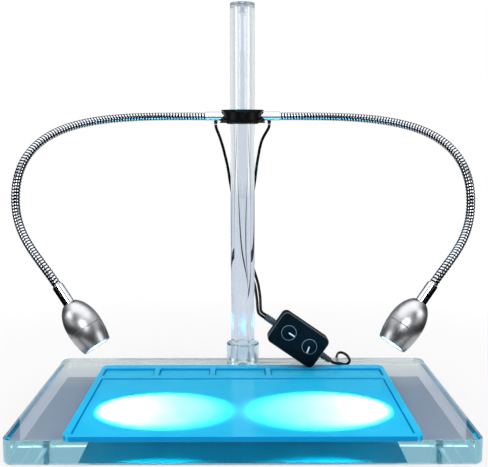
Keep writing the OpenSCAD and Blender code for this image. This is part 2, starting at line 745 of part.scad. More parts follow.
// Chrome ferrule between neck and head
module head_ferrule(side) {
    in_r = groove_r - neck_stop;
    step_z = neck_seat + seat_clear;
    color("Silver") on_head(side) rotate_extrude($fn = medium)
        polygon([[neck_seat_r, 0], [head_ferrule_r, 0], [head_ferrule_r, head_z + ferrule_plug],
                 [in_r, head_z + ferrule_plug], [in_r, step_z], [neck_seat_r, step_z]]);
}

// Rear shell of the head: a satin egg with a heat sink in its tail
module head_shell(side) {
    bore_r = head_ferrule_r + seat_clear;
    plug_z = head_z + ferrule_plug + seat_clear;
    cavity_r = egg_r(sink_z) - head_wall;
    color("DarkGray") on_head(side) rotate_extrude($fn = fine)
        polygon(concat(
            [[bore_r, head_z]],
            [for (i = [0:shell_steps]) let (z = head_z + shell_l * i / shell_steps) [egg_r(z), z]],
            [[thread_r, seam_z], [thread_r, seam_z - thread_l - seat_clear],
             [cavity_r, seam_z - thread_l - seat_clear], [cavity_r, sink_z],
             [wire_r, sink_z], [wire_r, plug_z], [bore_r, plug_z]]));
}

// Front bezel, screwed into the shell
module head_bezel(side) {
    spigot_r = thread_r - seat_clear;
    in_r = spigot_r - thread_wall;
    color("DarkGray") on_head(side) rotate_extrude($fn = fine)
        polygon(concat(
            [[in_r, seam_z - thread_l], [spigot_r, seam_z - thread_l], [spigot_r, seam_z]],
            [for (i = [0:bezel_steps]) let (z = seam_z + bezel_l * i / bezel_steps) [egg_r(z), z]],
            [[lens_r - lens_lip, front_z], [lens_r - lens_lip, lens_front_z],
             [lens_r + seat_clear, lens_front_z], [lens_r + seat_clear, lens_back_z - lens_seat],
             [in_r, lens_back_z - lens_relief]]));
}

// Lens behind the bezel's lip
module lens(side) {
    color("White", 0.6) on_head(side) translate([0, 0, lens_back_z])
        cylinder(r = lens_r, h = lens_t - seat_clear / 2, $fn = fine);
}

// Reflector cup between the diode and the lens
module reflector(side) {
    mouth_r = lens_r - lens_lip;
    throat_r = led_d / 2 + led_gap;
    foot_r = throat_r + reflector_wall + reflector_foot;
    top_z = lens_back_z - seat_clear / 2;
    color("WhiteSmoke") on_head(side) rotate_extrude($fn = fine)
        polygon([[throat_r, reflector_z], [foot_r, reflector_z], [foot_r, reflector_z + reflector_foot_h],
                 [mouth_r + reflector_wall, top_z], [mouth_r, top_z]]);
}

// Round metal-cored board that carries the diode
module led_board(side) {
    notch_r = 1.6;
    color("White") on_head(side) translate([0, 0, sink_z + seat_clear / 2]) difference() {
        cylinder(d = board_d, h = board_t - seat_clear, $fn = medium);
        for (i = [0:5])
            rotate([0, 0, 60 * i]) translate([board_d / 2, 0, -cut_over])
                cylinder(r = notch_r, h = board_t + 2 * cut_over, $fn = coarse);
    }
}

// Light-emitting diode with its dome
module led(side) {
    color("LightYellow") on_head(side) translate([0, 0, led_base_z]) rotate_extrude($fn = medium)
        polygon([[0, 0], [led_d / 2, 0], [led_d / 2, led_h / 3], [led_d / 2 * 0.8, led_h * 0.75],
                 [led_d / 2 * 0.4, led_h * 0.95], [0, led_h]]);
}

// Leads between the hub and the dimmer
module upper_lead(side) {
    color([0.05, 0.05, 0.05])
        cord_tube(side < 0 ? left_upper_route : right_upper_route, lead_d / 2, lead_sides, [1, 0, 0]);
}
module lower_lead(side) {
    color([0.05, 0.05, 0.05])
        cord_tube(side < 0 ? left_lower_route : right_lower_route, lead_d / 2, lead_sides, [1, 0, 0]);
}

// Puts a piece that is drawn in the dimmer's own frame where the dimmer leans
module on_dimmer() {
    translate(dimmer_place) rotate([90 - dimmer_lean, 0, 0]) rotate([0, 0, -dimmer_turn]) children();
}

// Half of the case's outside, with its edge rounded, from z = 0 to the face
module case_half() {
    hull() {
        slab(case_w, case_h, case_t / 2 - case_bevel, case_corner_r);
        slab(case_w - 2 * case_bevel, case_h - 2 * case_bevel, case_t / 2, case_corner_r - case_bevel);
    }
}
module case_hollow() {
    translate([0, 0, -cut_over])
        slab(case_w - 2 * case_wall, case_h - 2 * case_wall, case_t / 2 - case_wall + cut_over,
             max(case_corner_r - case_wall, 1));
}
module boot_holes() {
    rotate([0, 90, 0])
        translate([0, 0, -case_w])
            cylinder(r = boot_r - boot_flange + seat_clear, h = 2 * case_w, $fn = medium);
}

// Front half of the dimmer case, with holes for the two shafts
module dimmer_case_front() {
    color([0.09, 0.1, 0.11]) on_dimmer() difference() {
        union() {
            difference() {
                case_half();
                case_hollow();
            }
            for (x = [-1, 1], y = [-1, 1])
                translate([x * post_x, y * post_y, seat_clear / 2])
                    cylinder(r = post_r, h = case_t / 2 - case_wall, $fn = coarse);
        }
        for (x = [-1, 1]) {
            translate([x * knob_spacing / 2, knob_y, 0])
                cylinder(r = shaft_d / 2 + rest_clear, h = case_t, $fn = medium);
            for (y = [-1, 1])
                translate([x * post_x, y * post_y, -cut_over])
                    cylinder(r = pilot_r + seat_clear, h = case_t / 2 - case_wall + cut_over, $fn = coarse);
        }
        boot_holes();
    }
}

// Back half of the dimmer case, with sunken holes for the screws
module dimmer_case_back() {
    color([0.09, 0.1, 0.11]) on_dimmer() difference() {
        mirror([0, 0, 1]) union() {
            difference() {
                case_half();
                case_hollow();
            }
            for (x = [-1, 1], y = [-1, 1])
                translate([x * post_x, y * post_y, seat_clear / 2])
                    cylinder(r = post_r, h = case_t / 2 - case_wall, $fn = coarse);
        }
        for (x = [-1, 1], y = [-1, 1]) translate([x * post_x, y * post_y, -case_t / 2 - cut_over]) {
            cylinder(r = pilot_r + 2 * seat_clear, h = case_t, $fn = coarse);
            cylinder(r = screw_head_r + seat_clear, h = screw_head_t + cut_over + seat_clear, $fn = coarse);
        }
        boot_holes();
    }
}

// Board that carries both potentiometers
module dimmer_board() {
    notch = 2 * post_r + 2 * rest_clear;
    color("ForestGreen") on_dimmer() difference() {
        translate([-board_w / 2, -board_h / 2, pot_bottom - dimmer_board_t - seat_clear])
            cube([board_w, board_h, dimmer_board_t]);
        for (x = [-1, 1], y = [-1, 1])
            translate([x * post_x - notch / 2, y * post_y - notch / 2, -case_t / 2])
                cube([notch, notch, case_t]);
    }
}

// Potentiometer with its turning shaft's sleeve left open for the knob
module pot(side) {
    color("SlateGray") on_dimmer() translate([side * knob_spacing / 2, knob_y, pot_bottom]) difference() {
        translate([-pot_w / 2, -pot_w / 2, 0]) cube([pot_w, pot_w, pot_t]);
        translate([0, 0, pot_floor]) cylinder(r = shaft_d / 2 + turn_clear, h = pot_t, $fn = medium);
    }
}

// Dimmer knob with its shaft and a raised pointer
module knob(side) {
    r = knob_d / 2;
    base = case_t / 2 + knob_gap;
    shaft_end = pot_bottom + pot_floor + seat_clear;
    turned = side < 0 ? left_pointer_turn : right_pointer_turn;
    color([0.1, 0.1, 0.11]) on_dimmer() translate([side * knob_spacing / 2, knob_y, 0]) {
        rotate_extrude($fn = fine)
            polygon([[0, shaft_end], [shaft_d / 2, shaft_end], [shaft_d / 2, base], [r, base],
                     [r, base + knob_h - knob_edge], [r - knob_edge, base + knob_h], [0, base + knob_h]]);
        rotate([0, 0, turned]) translate([0, -pointer_w / 2, base + knob_h - pointer_sink])
            cube([r - pointer_inset, pointer_w, pointer_sink + pointer_h]);
    }
}

// Four screws in the case's back
module case_screws() {
    slot = 0.7;
    slot_depth = 0.8;
    color("DimGray") on_dimmer() for (x = [-1, 1], y = [-1, 1])
        translate([x * post_x, y * post_y, -case_t / 2]) difference() {
            union() {
                cylinder(r = screw_head_r, h = screw_head_t, $fn = coarse);
                cylinder(r = pilot_r, h = screw_l, $fn = coarse);
            }
            for (turned = [0, 90])
                rotate([0, 0, turned]) translate([-screw_head_r * 0.7, -slot / 2, -cut_over])
                    cube([screw_head_r * 1.4, slot, cut_over + slot_depth]);
        }
}

// Ribbed strain relief drawn along +X from the middle of the case's side wall
module ribbed_boot(tip_r) {
    wall_x = case_w / 2;
    neck_r = boot_r - boot_flange;
    step = boot_l / boot_ribs;
    rotate([0, 90, 0]) rotate_extrude($fn = medium) polygon(concat(
        [[boot_bore_r, wall_x - case_wall - boot_flange_t], [boot_r, wall_x - case_wall - boot_flange_t],
         [boot_r, wall_x - case_wall - seat_clear], [neck_r, wall_x - case_wall - seat_clear],
         [neck_r, wall_x + seat_clear]],
        [for (i = [0:boot_ribs - 1]) let (
            r = boot_r + (tip_r - boot_r) * i / boot_ribs,
            x = wall_x + seat_clear + i * step
        ) each [[r, x], [r, x + step * 0.6], [r - boot_rib_h, x + step * 0.6], [r - boot_rib_h, x + step]]],
        [[boot_bore_r, wall_x + seat_clear + boot_l]]));
}
module inlet_boot() {
    color([0.06, 0.06, 0.06]) on_dimmer() rotate([0, 0, 180]) ribbed_boot(boot_r);
}
module outlet_boot() {
    color([0.06, 0.06, 0.06]) on_dimmer() ribbed_boot(boot_tip_r);
}

// Supply cord: the loose stretch, and the coil of what isn't needed
module power_cord() {
    color([0.05, 0.05, 0.05]) cord_tube(cord_route, lead_d / 2, lead_sides, [0, 1, 0]);
}
module power_cord_coil() {
    color([0.05, 0.05, 0.05]) cord_tube(coil_line, lead_d / 2, coil_sides, [0, 1, 0]);
}

// Band round the coil, on its right-hand side
module coil_tie() {
    inmost_r = coil_r - coil_pitch * coil_turns - lead_d / 2;
    low_r = sqrt(pow(inmost_r, 2) - pow(tie_w / 2, 2)) - rest_clear;
    high_r = coil_r + lead_d / 2 + rest_clear;
    low_z = -lead_d / 2 - rest_clear;
    high_z = coil_layer + lead_d / 2 + rest_clear;
    color("Black") translate(coil_mid + [0, tie_w / 2, 0]) rotate([90, 0, 0]) linear_extrude(tie_w)
        difference() {
            translate([low_r - tie_t, low_z - tie_t])
                square([high_r - low_r + 2 * tie_t, high_z - low_z + 2 * tie_t]);
            translate([low_r, low_z]) square([high_r - low_r, high_z - low_z]);
        }
}

// Moulded body of the plug, with the tongue that carries the contacts
module usb_plug_body() {
    color([0.07, 0.07, 0.07]) translate(plug_start) {
        rotate([0, -90, 0]) rotate_extrude($fn = medium)
            polygon([[0, 0], [lead_d / 2 + plug_neck_wall, 0], [lead_d / 2 + plug_root_wall, plug_neck_l],
                     [0, plug_neck_l]]);
        translate([-plug_neck_l - plug_l, -plug_w / 2, plug_z - plug_start[2] - plug_h / 2]) difference() {
            cube([plug_l, plug_w, plug_h]);
            translate([-cut_over, (plug_w - usb_w) / 2 - seat_clear, (plug_h - usb_h) / 2 - seat_clear])
                cube([usb_in + cut_over + seat_clear, usb_w + 2 * seat_clear, usb_h + 2 * seat_clear]);
        }
        translate([-plug_neck_l - plug_l + usb_in - usb_l + tongue_back, -usb_w / 2 + usb_wall + seat_clear,
                   plug_z - plug_start[2] - usb_h / 2 + usb_wall + seat_clear])
            cube([usb_l - tongue_back + cut_over, usb_w - 2 * usb_wall - 2 * seat_clear, tongue_t]);
    }
}

// Metal shell of the plug, with its two latch windows
module usb_plug_shell() {
    end_x = plug_start[0] - plug_neck_l - plug_l + usb_in;
    color("Silver") translate([end_x - usb_l, plug_start[1], plug_z]) difference() {
        translate([0, -usb_w / 2, -usb_h / 2]) cube([usb_l, usb_w, usb_h]);
        translate([-cut_over, -usb_w / 2 + usb_wall, -usb_h / 2 + usb_wall])
            cube([usb_l + 2 * cut_over, usb_w - 2 * usb_wall, usb_h - 2 * usb_wall]);
        for (y = [-1, 1])
            translate([window_x, y * window_y - window_w / 2, 0]) cube([window_w, window_w, usb_h]);
    }
}

base_plate();
work_mat();
column();
column_cap();
column_collar();
hub_body();
hub_bush();
clamp_screw();
ferrule_set_screws();
base_ferrule(-1);  // left_base_ferrule
lead_grommet(-1);  // left_lead_grommet
neck_span(-1, 1);  // left_neck_1
neck_span(-1, 2);  // left_neck_2
neck_span(-1, 3);  // left_neck_3
neck_span(-1, 4);  // left_neck_4
neck_span(-1, 5);  // left_neck_5
neck_span(-1, 6);  // left_neck_6
head_ferrule(-1);  // left_head_ferrule
head_shell(-1);  // left_head_shell
head_bezel(-1);  // left_head_bezel
lens(-1);  // left_lens
reflector(-1);  // left_reflector
led_board(-1);  // left_led_board
led(-1);  // left_led
base_ferrule(1);  // right_base_ferrule
lead_grommet(1);  // right_lead_grommet
neck_span(1, 1);  // right_neck_1
neck_span(1, 2);  // right_neck_2
neck_span(1, 3);  // right_neck_3
neck_span(1, 4);  // right_neck_4
neck_span(1, 5);  // right_neck_5
neck_span(1, 6);  // right_neck_6
head_ferrule(1);  // right_head_ferrule
head_shell(1);  // right_head_shell
head_bezel(1);  // right_head_bezel
lens(1);  // right_lens
reflector(1);  // right_reflector
led_board(1);  // right_led_board
led(1);  // right_led
upper_lead(-1);  // left_lead_upper
lower_lead(-1);  // left_lead_lower
upper_lead(1);  // right_lead_upper
lower_lead(1);  // right_lead_lower
dimmer_case_front();
dimmer_case_back();
dimmer_board();
pot(-1);  // left_pot
pot(1);  // right_pot
knob(-1);  // left_knob
knob(1);  // right_knob
case_screws();
inlet_boot();
outlet_boot();
power_cord();
power_cord_coil();
coil_tie();
usb_plug_body();
usb_plug_shell();
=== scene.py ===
"""Looks of a dual gooseneck LED illuminator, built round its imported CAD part."""

import json
import math

import bpy
from mathutils import Matrix, Vector

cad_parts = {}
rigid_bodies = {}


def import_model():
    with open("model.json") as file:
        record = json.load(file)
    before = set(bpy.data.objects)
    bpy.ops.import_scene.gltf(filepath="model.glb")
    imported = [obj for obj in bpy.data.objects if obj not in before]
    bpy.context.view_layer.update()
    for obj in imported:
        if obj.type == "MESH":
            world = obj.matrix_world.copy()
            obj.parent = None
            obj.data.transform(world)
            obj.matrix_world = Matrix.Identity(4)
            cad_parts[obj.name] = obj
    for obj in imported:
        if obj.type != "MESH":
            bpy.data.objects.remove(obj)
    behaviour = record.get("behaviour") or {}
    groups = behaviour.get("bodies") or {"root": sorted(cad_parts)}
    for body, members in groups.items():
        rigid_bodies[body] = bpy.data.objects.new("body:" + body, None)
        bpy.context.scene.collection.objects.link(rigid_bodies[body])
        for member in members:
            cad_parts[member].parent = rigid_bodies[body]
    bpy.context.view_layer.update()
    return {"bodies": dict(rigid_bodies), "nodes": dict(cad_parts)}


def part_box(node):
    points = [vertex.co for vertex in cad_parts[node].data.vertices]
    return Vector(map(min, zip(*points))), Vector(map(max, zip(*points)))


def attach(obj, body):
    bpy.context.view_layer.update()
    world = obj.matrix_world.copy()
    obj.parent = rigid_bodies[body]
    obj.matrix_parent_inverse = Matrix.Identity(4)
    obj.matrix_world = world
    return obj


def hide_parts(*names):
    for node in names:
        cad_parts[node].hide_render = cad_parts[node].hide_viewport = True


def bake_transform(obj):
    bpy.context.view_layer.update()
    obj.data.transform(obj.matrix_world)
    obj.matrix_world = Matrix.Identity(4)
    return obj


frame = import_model()

# Sizes and places in millimetres, as in the part's source
PLATE_W, PLATE_D, PLATE_T = 470, 288, 26
PLATE_CORNER, PLATE_EDGE, PLATE_FOOT = 10, 0.6, 2.4
MAT_W, MAT_FRONT, MAT_BACK, MAT_TOP = 350, -148, 93.9, 31
MAT_CORNER, MAT_BORDER, MAT_SINK = 8, 7, 1.2
WORK_BACK = 39.9
TRAY_FRONT, TRAY_BACK, TRAY_SINK = 49.9, 80.9, 2.5
TRAY_SIDES = [(-170, -108), (-102, -40), (-34, 28), (34, 170)]
GUTTER_W, GUTTER_DEEP = 1.6, 1
MAT_BOND = 0.05
SANDED = 0.35
AIR_GAP = 0.03
FIT = 0.1

COLUMN_Y, COLUMN_R, COLUMN_BORE_R, COLUMN_TOP = 119, 15, 7, 474
CAP_T, CAP_SPIGOT_R, CAP_SPIGOT_L = 4, 6.9, 8
COLLAR_IN_R, COLLAR_R, COLLAR_TOP, COLLAR_RIM = 15.1, 20.6, 54, 1.4

HUB_Z, HUB_HALF, HUB_BORE_R = 341, 8, 18.11
HUB_WAIST_R, HUB_TOP_R, HUB_BOTTOM_R = 24.5, 26.3, 28.2
HUB_RIM, HUB_SLOPE = 1.2, 2.4
CLAMP_HOLE_R = 2.55
SET_SCREW_X, SET_SCREW_HOLE_R = 22.65, 1.6

NECK_R, NECK_GROOVE_R, NECK_SEAT, NECK_PITCH = 4.8, 4.25, 10, 3.6
# The wound strip's section over one turn: share of the turn, share of the groove's depth
STRIP_SECTION = [
    (0, 0), (0.16, 0.06), (0.23, 0.93), (0.29, 1), (0.5, 1), (0.71, 1), (0.77, 0.93), (0.84, 0.06), (1, 0),
]
NECK_SPANS = 6
# Points worked out along each segment of a neck's centreline
LINE_STEPS = 200
FERRULE_R, FERRULE_IN, FERRULE_OUT = 5.6, 18.8, 46.2
HEAD_FERRULE_R, HEAD_FERRULE_L, HEAD_FERRULE_PLUG = 6.1, 23, 6
FERRULE_SEAT_R, FERRULE_BORE_R = 4.95, 3.5
ARMS = {
    "left": {
        "side": -1,
        "widest": Vector((-250, -7, 249)),
        "end": Vector((-197, -49, 160)),
        "aim": Vector((0.563604, -0.185667, -0.804909)),
    },
    "right": {
        "side": 1,
        "widest": Vector((251, -9, 246)),
        "end": Vector((202, -50, 161)),
        "aim": Vector((-0.58448, -0.185667, -0.78988)),
    },
}
# The neck's direction at its widest place, and the lengths of its curve's four handles
WIDEST_WAY = Vector((0, -math.sin(math.radians(6)), -math.cos(math.radians(6))))
PULLS = (124, 94, 42, 40)

HEAD_TAIL, HEAD_SEAM, HEAD_FRONT, HEAD_BULGE = 23, 55, 77, 52
HEAD_R, HEAD_TAIL_R, HEAD_FRONT_R, HEAD_WALL = 19, 7.5, 15.5, 1.8
SINK_Z, THREAD_L, WIRE_R = 39, 5, 2
LENS_BACK, LENS_FRONT, LENS_LIP, LIP_EDGE = 72, 74, 1, 0.4
# The lens's front from its lip to its middle: share of the lip's radius, depth behind the front
LENS_CURVE = [(1, 0.3), (0.7, 0.15), (0.35, 0.08), (0, 0.05)]
SEAM_GROOVE = 0.45
# The places on the mat that the heads light; watts, degrees and the share of the spot's soft rim
LIT_SPOTS = {"left": (-110, -67, 29.8), "right": (110, -67, 29.8)}
LAMP_POWER, LAMP_SPREAD, LAMP_SOFT_RIM = 20, 63.5, 0.2

LEAD_R = 1.75
LEAD_CUT_Z = 301.75
LEAD_EXIT_X = 33.2
# Points of a lead's route: where its upper part ends, and where its lower part comes to rest
LEADS = {
    "left": [
        (-33.2, 119, 331.1), (-33.2, 119, 329.3), (-32.2, 119.2, 325.5), (-30, 119.8, 320),
        (-27.2, 120.9, 312), (-24.2, 122.2, 302), (-22.4, 123.5, 294.5), (-20.6, 125.3, 287),
        (-19, 127.5, 279.5), (-17.6, 130, 271), (-16.2, 132.3, 261), (-14.4, 134.3, 250),
        (-12.3, 135.6, 238), (-10.4, 136.4, 226), (-8.8, 137, 214), (-7.2, 137.3, 202), (-5.5, 137.5, 190),
        (-3.5, 137.5, 178.5), (-0.8, 137.4, 167.5), (2.6, 137, 157), (6.6, 136, 147.5), (10.6, 133.8, 139),
        (13.8, 130.5, 131.5), (15.9, 126, 124.5), (17, 120.5, 118), (17.8, 114, 112.2), (18.2, 107.5, 108),
        (18.4, 101, 104.2), (19, 95, 100.2), (20, 91.2, 97.9), (22, 89.6, 96.1), (26.9, 89.4, 92.7),
    ],
    "right": [
        (33.2, 119, 331.1), (33.2, 119, 329.5), (32, 119.1, 326), (28.8, 119.6, 320.5),
        (24.6, 120.4, 312.5), (21.6, 121.8, 302), (20.3, 123.3, 295), (19, 125.3, 287.5),
        (17.9, 127.6, 280), (17, 130, 272), (15.9, 132.5, 262.5), (14.4, 134.5, 252), (12.7, 136, 241),
        (11.2, 137, 230), (10.1, 137.5, 218.5), (9.4, 137.8, 207), (9, 137.8, 195.5), (9, 137.8, 184),
        (9.5, 137.6, 173), (10.6, 137.2, 162.5), (12.4, 136.4, 152.5), (14.9, 134.6, 143.5),
        (17.6, 131.4, 135.5), (19.7, 126.8, 128.5), (21, 121, 122), (21.8, 114.5, 116.3),
        (22.2, 107.5, 111.6), (22.2, 101, 107.5), (22.4, 95, 103.6), (22.8, 91.3, 101.2),
        (24.2, 89.7, 99.3), (29.1, 89.5, 95.9),
    ],
}
CORD = [
    (109.2, 86.5, 38.5), (113.1, 86.8, 36), (116.9, 88.8, 34.4), (120.6, 92.4, 33.3), (124.2, 96.8, 31.7),
    (128, 101.4, 29.5), (131.8, 106.2, 28.2), (135.2, 111.4, 28.2), (137.3, 117, 29.6),
    (136.6, 122.4, 32.3), (133.8, 126.8, 35), (130.1, 130, 36.4), (127, 133.4, 35.9), (125.4, 137.4, 34),
    (124.8, 141.4, 31.7), (124.5, 145.2, 28.9), (124.1, 147.8, 24.8), (123.2, 149.4, 19.6),
    (120.8, 150.4, 13.9), (115.8, 151.2, 8.4), (107.8, 152, 4.7), (98.6, 152.4, 3.05), (90.9, 152.5, 2.75),
]
COIL_START = Vector((84, 152.5, 2.75))
COIL_R, COIL_PITCH, COIL_TURNS, COIL_LAYER = 25.5, 4.1, 3, 4.05
COIL_RINGS = 24
TAIL_L, TAIL_LEVEL, TAIL_SLOPE, TAIL_STEPS = 28, 9, 15, 7
PLUG_Z = 4.2
PLUG_NECK, PLUG_L, PLUG_W, PLUG_H, PLUG_RIBS = 9, 26, 15, 8, 4
GRIP_START, GRIP_STEP, GRIP_W, GRIP_DEEP, GRIPS = 7.6, 3, 1.4, 0.6, 4
USB_W, USB_H, USB_IN = 12, 4.5, 5
TIE_T = 0.7

CASE_W, CASE_H, CASE_HALF, CASE_CORNER, CASE_EDGE, CASE_WALL = 68, 44, 11, 7, 1.6, 2
DIMMER = (
    Matrix.Translation(Vector((68.5, 88, 66.4831)) * 0.001)
    @ Matrix.Rotation(math.radians(87), 4, "X")
    @ Matrix.Rotation(math.radians(-34.5), 4, "Z")
)
KNOB_X, KNOB_Y, KNOB_R, KNOB_H, KNOB_BASE, SHAFT_R = 15.25, 1.4, 9.5, 2.4, 11.3, 3
# The knob's rim from its side to its dished face: in from the rim, down from the top
KNOB_RIM = [(0, 0.7), (0.2, 0.25), (0.7, 0), (1.1, 0), (1.6, 0.3), (2.2, 0.45)]
POINTER_W, POINTER_L, POINTER_RISE = 1.6, 8.3, 0.35
POINTER_TURNS = {"left": 0, "right": -77}
SCREW_X, SCREW_Y, SCREW_HOLE_R = 29, 17, 2.3
BOOT_R, BOOT_TIP_R, BOOT_NECK_R, BOOT_BORE_R = 4.4, 3.4, 2.9, 1.2
BOOT_L, BOOT_RIBS, BOOT_RIB = 15, 5, 0.7
# Share of each step that a rib takes up on the plug's neck and on the strain reliefs
RIB_SHARE = 0.6

# The photograph's width and focal length in pixels, and the camera's place, dip and sway in degrees
PHOTO_WIDTH_PX, CAMERA_FOCUS_PX = 488, 811.3
CAMERA_AT, CAMERA_DIP, CAMERA_SWAY = (0.45, -898.4, 322.8), 7.185, -0.07
# Steps of a turned piece that is seen large
FINE_STEPS = 128


def mm(*numbers):
    """Millimetres to a vector in metres."""
    return Vector(numbers) * 0.001


def select_only(piece):
    """Makes piece the one selected and active object."""
    bpy.ops.object.select_all(action="DESELECT")
    piece.select_set(True)
    bpy.context.view_layer.objects.active = piece


def open_edit(piece, kind="VERT", action="SELECT"):
    """Opens piece in edit mode with all or none of it selected."""
    select_only(piece)
    bpy.ops.object.mode_set(mode="EDIT")
    bpy.ops.mesh.select_mode(type=kind)
    bpy.ops.mesh.select_all(action=action)


def close_edit():
    bpy.ops.object.mode_set(mode="OBJECT")


def pick(piece, kind, test):
    """Opens piece in edit mode with the edges or faces selected that pass the test on places in mm."""
    open_edit(piece, kind, "DESELECT")
    close_edit()
    mesh = piece.data
    if kind == "EDGE":
        for edge in mesh.edges:
            a, b = (mesh.vertices[i].co * 1000 for i in edge.vertices)
            edge.select = test(a, b)
    else:
        for face in mesh.polygons:
            face.select = test(face.center * 1000, face.normal)
    bpy.ops.object.mode_set(mode="EDIT")


def round_edges(piece, radius, segments, test):
    """Rounds the edges whose ends pass the test, by a radius in mm."""
    pick(piece, "EDGE", test)
    bpy.ops.mesh.bevel(offset=radius * 0.001, segments=segments, affect="EDGES")
    close_edit()


def apply_modifier(piece, kind, **settings):
    """Adds a modifier with its settings and applies it."""
    select_only(piece)
    modifier = piece.modifiers.new(kind.lower(), kind)
    for name, value in settings.items():
        setattr(modifier, name, value)
    bpy.ops.object.modifier_apply(modifier=modifier.name)


def shade_smooth(piece, angle):
    """Shades the piece smooth apart from edges sharper than the angle in degrees."""
    select_only(piece)
    bpy.ops.object.shade_smooth_by_angle(angle=math.radians(angle))


def soften(piece, width, segments=3, angle=40):
    """Rounds the sharp edges, in mm, and shades them smooth while the large faces stay flat."""
    apply_modifier(
        piece, "BEVEL", width=width * 0.001, segments=segments, limit_method="ANGLE",
        angle_limit=math.radians(angle),
    )
    shade_smooth(piece, angle)
    apply_modifier(piece, "WEIGHTED_NORMAL", mode="FACE_AREA", weight=50, keep_sharp=True)


def place(piece, matrix):
    """Puts the piece's place into its mesh."""
    select_only(piece)
    piece.matrix_world = matrix
    bpy.ops.object.transform_apply(location=True, rotation=True, scale=True)


def fresh(name):
    """Names the object that an operator has just added."""
    piece = bpy.context.active_object
    piece.name = piece.data.name = name
    return piece


def block(name, low, high, corner=0.0, segments=8):
    """Box between two corners, with its upright edges rounded."""
    low, high = Vector(low), Vector(high)
    bpy.ops.object.select_all(action="DESELECT")
    bpy.ops.mesh.primitive_cube_add(size=1, location=mm(*((low + high) / 2)))
    piece = fresh(name)
    piece.scale = mm(*(high - low))
    bpy.ops.object.transform_apply(location=True, rotation=True, scale=True)
    if corner:
        round_edges(piece, corner, segments, lambda a, b: abs(a.z - b.z) > 0.1)
    return piece


def rod(name, radius, start, end, sides=48):
    """Round bar between two points, for cutting holes."""
    start, end = Vector(start), Vector(end)
    way = end - start
    bpy.ops.object.select_all(action="DESELECT")
    bpy.ops.mesh.primitive_cylinder_add(vertices=sides, radius=radius * 0.001, depth=way.length * 0.001)
    piece = fresh(name)
    turn = way.to_track_quat("Z", "Y").to_matrix().to_4x4()
    place(piece, Matrix.Translation(mm(*((start + end) / 2))) @ turn)
    return piece


def cut(piece, *cutters):
    """Takes the cutters out of the piece."""
    for cutter in cutters:
        apply_modifier(piece, "BOOLEAN", operation="DIFFERENCE", object=cutter, solver="EXACT")
        bpy.data.objects.remove(cutter)


def strand(name, points):
    """New piece, open in edit mode, that is one line of edges through points in metres."""
    bpy.ops.object.select_all(action="DESELECT")
    bpy.ops.mesh.primitive_plane_add(size=0.01)
    piece = fresh(name)
    open_edit(piece)
    bpy.ops.mesh.merge(type="CENTER")
    bpy.ops.transform.translate(value=points[0])
    for here, there in zip(points, points[1:]):
        bpy.ops.mesh.extrude_vertices_move(TRANSFORM_OT_translate={"value": there - here})
    return piece


def weld(piece, threshold):
    """Joins points that lie closer than the threshold in metres, and turns the faces outward."""
    open_edit(piece)
    bpy.ops.mesh.remove_doubles(threshold=threshold)
    bpy.ops.mesh.normals_make_consistent(inside=False)
    close_edit()


def turned(name, outline, steps=96):
    """Spins an outline of (radius, height) in mm round Z; one that stays off the axis is closed."""
    points = [mm(r, 0, z) for r, z in outline]
    if outline[0][0] > 0:
        points.append(points[0])
    piece = strand(name, points)
    bpy.ops.mesh.select_all(action="SELECT")
    bpy.ops.mesh.spin(steps=steps, angle=math.tau, center=(0, 0, 0), axis=(0, 0, 1))
    close_edit()
    weld(piece, 1e-6)
    return piece


def rib_outline(start, step, radii, depth):
    """Outline of ribs along Z in mm, with gaps between them that lie lower."""
    outline = []
    for i, radius in enumerate(radii):
        at = start + i * step
        end = at + RIB_SHARE * step
        outline += [(radius, at), (radius, end), (radius - depth, end), (radius - depth, at + step)]
    return outline


def wrap_uv(piece):
    """UV map of a turned piece: u once round, as the lathe's grooves run, v at 10 per metre."""
    mesh = piece.data
    layer = mesh.uv_layers.new(name="lathe")
    for face in mesh.polygons:
        middle = math.atan2(face.center.y, face.center.x) / math.tau
        for loop in face.loop_indices:
            point = mesh.vertices[mesh.loops[loop].vertex_index].co
            around = math.atan2(point.y, point.x) / math.tau if point.xy.length > 1e-5 else middle
            around += round(middle - around)
            layer.data[loop].uv = (around, point.z * 10)


def two_tone(piece, main, other, test):
    """Main material, and the other where a face's middle in mm and its normal pass the test."""
    piece.data.materials.append(main)
    piece.data.materials.append(other)
    for face in piece.data.polygons:
        face.material_index = int(test(face.center * 1000, face.normal))


def dress(piece, body, slot, material, *nodes):
    """Gives the piece its material and its body, and hides the CAD nodes that it stands for. The slot is not
    used.
    """
    if not piece.data.materials:
        piece.data.materials.append(material)
    if body:
        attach(piece, body)
    if nodes:
        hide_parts(*nodes)
    return piece


def dress_node(name, material):
    """Gives a CAD node that stays its material."""
    node = frame["nodes"][name]
    node.data.materials.clear()
    node.data.materials.append(material)


def linear(text):
    """sRGB hex to linear RGBA."""
    shares = [int(text[i:i + 2], 16) / 255 for i in (1, 3, 5)]
    return [c / 12.92 if c <= 0.04045 else ((c + 0.055) / 1.055) ** 2.4 for c in shares] + [1]


def add_node(tree, kind, sockets=None, stops=(), **settings):
    """Adds a shader node. A socket gets a value, a link or a node's first output; stops are a ramp's."""
    node = tree.nodes.new("ShaderNode" + kind)
    for name, value in settings.items():
        setattr(node, name, value)
    for i, (position, colour) in enumerate(stops):
        node.color_ramp.elements[i].position = position
        node.color_ramp.elements[i].color = linear(colour)
    for name, value in (sockets or {}).items():
        if isinstance(value, bpy.types.Node):
            value = value.outputs[0]
        if isinstance(value, bpy.types.NodeSocket):
            tree.links.new(value, node.inputs[name])
        else:
            node.inputs[name].default_value = value
    return node


def blank_material(name):
    """New material with an empty node tree, and that tree."""
    made = bpy.data.materials.new(name)
    made.use_nodes = True
    made.node_tree.nodes.clear()
    return made, made.node_tree


def with_surface(made, shader):
    """The material, with the shader as its surface."""
    add_node(made.node_tree, "OutputMaterial", {"Surface": shader})
    return made


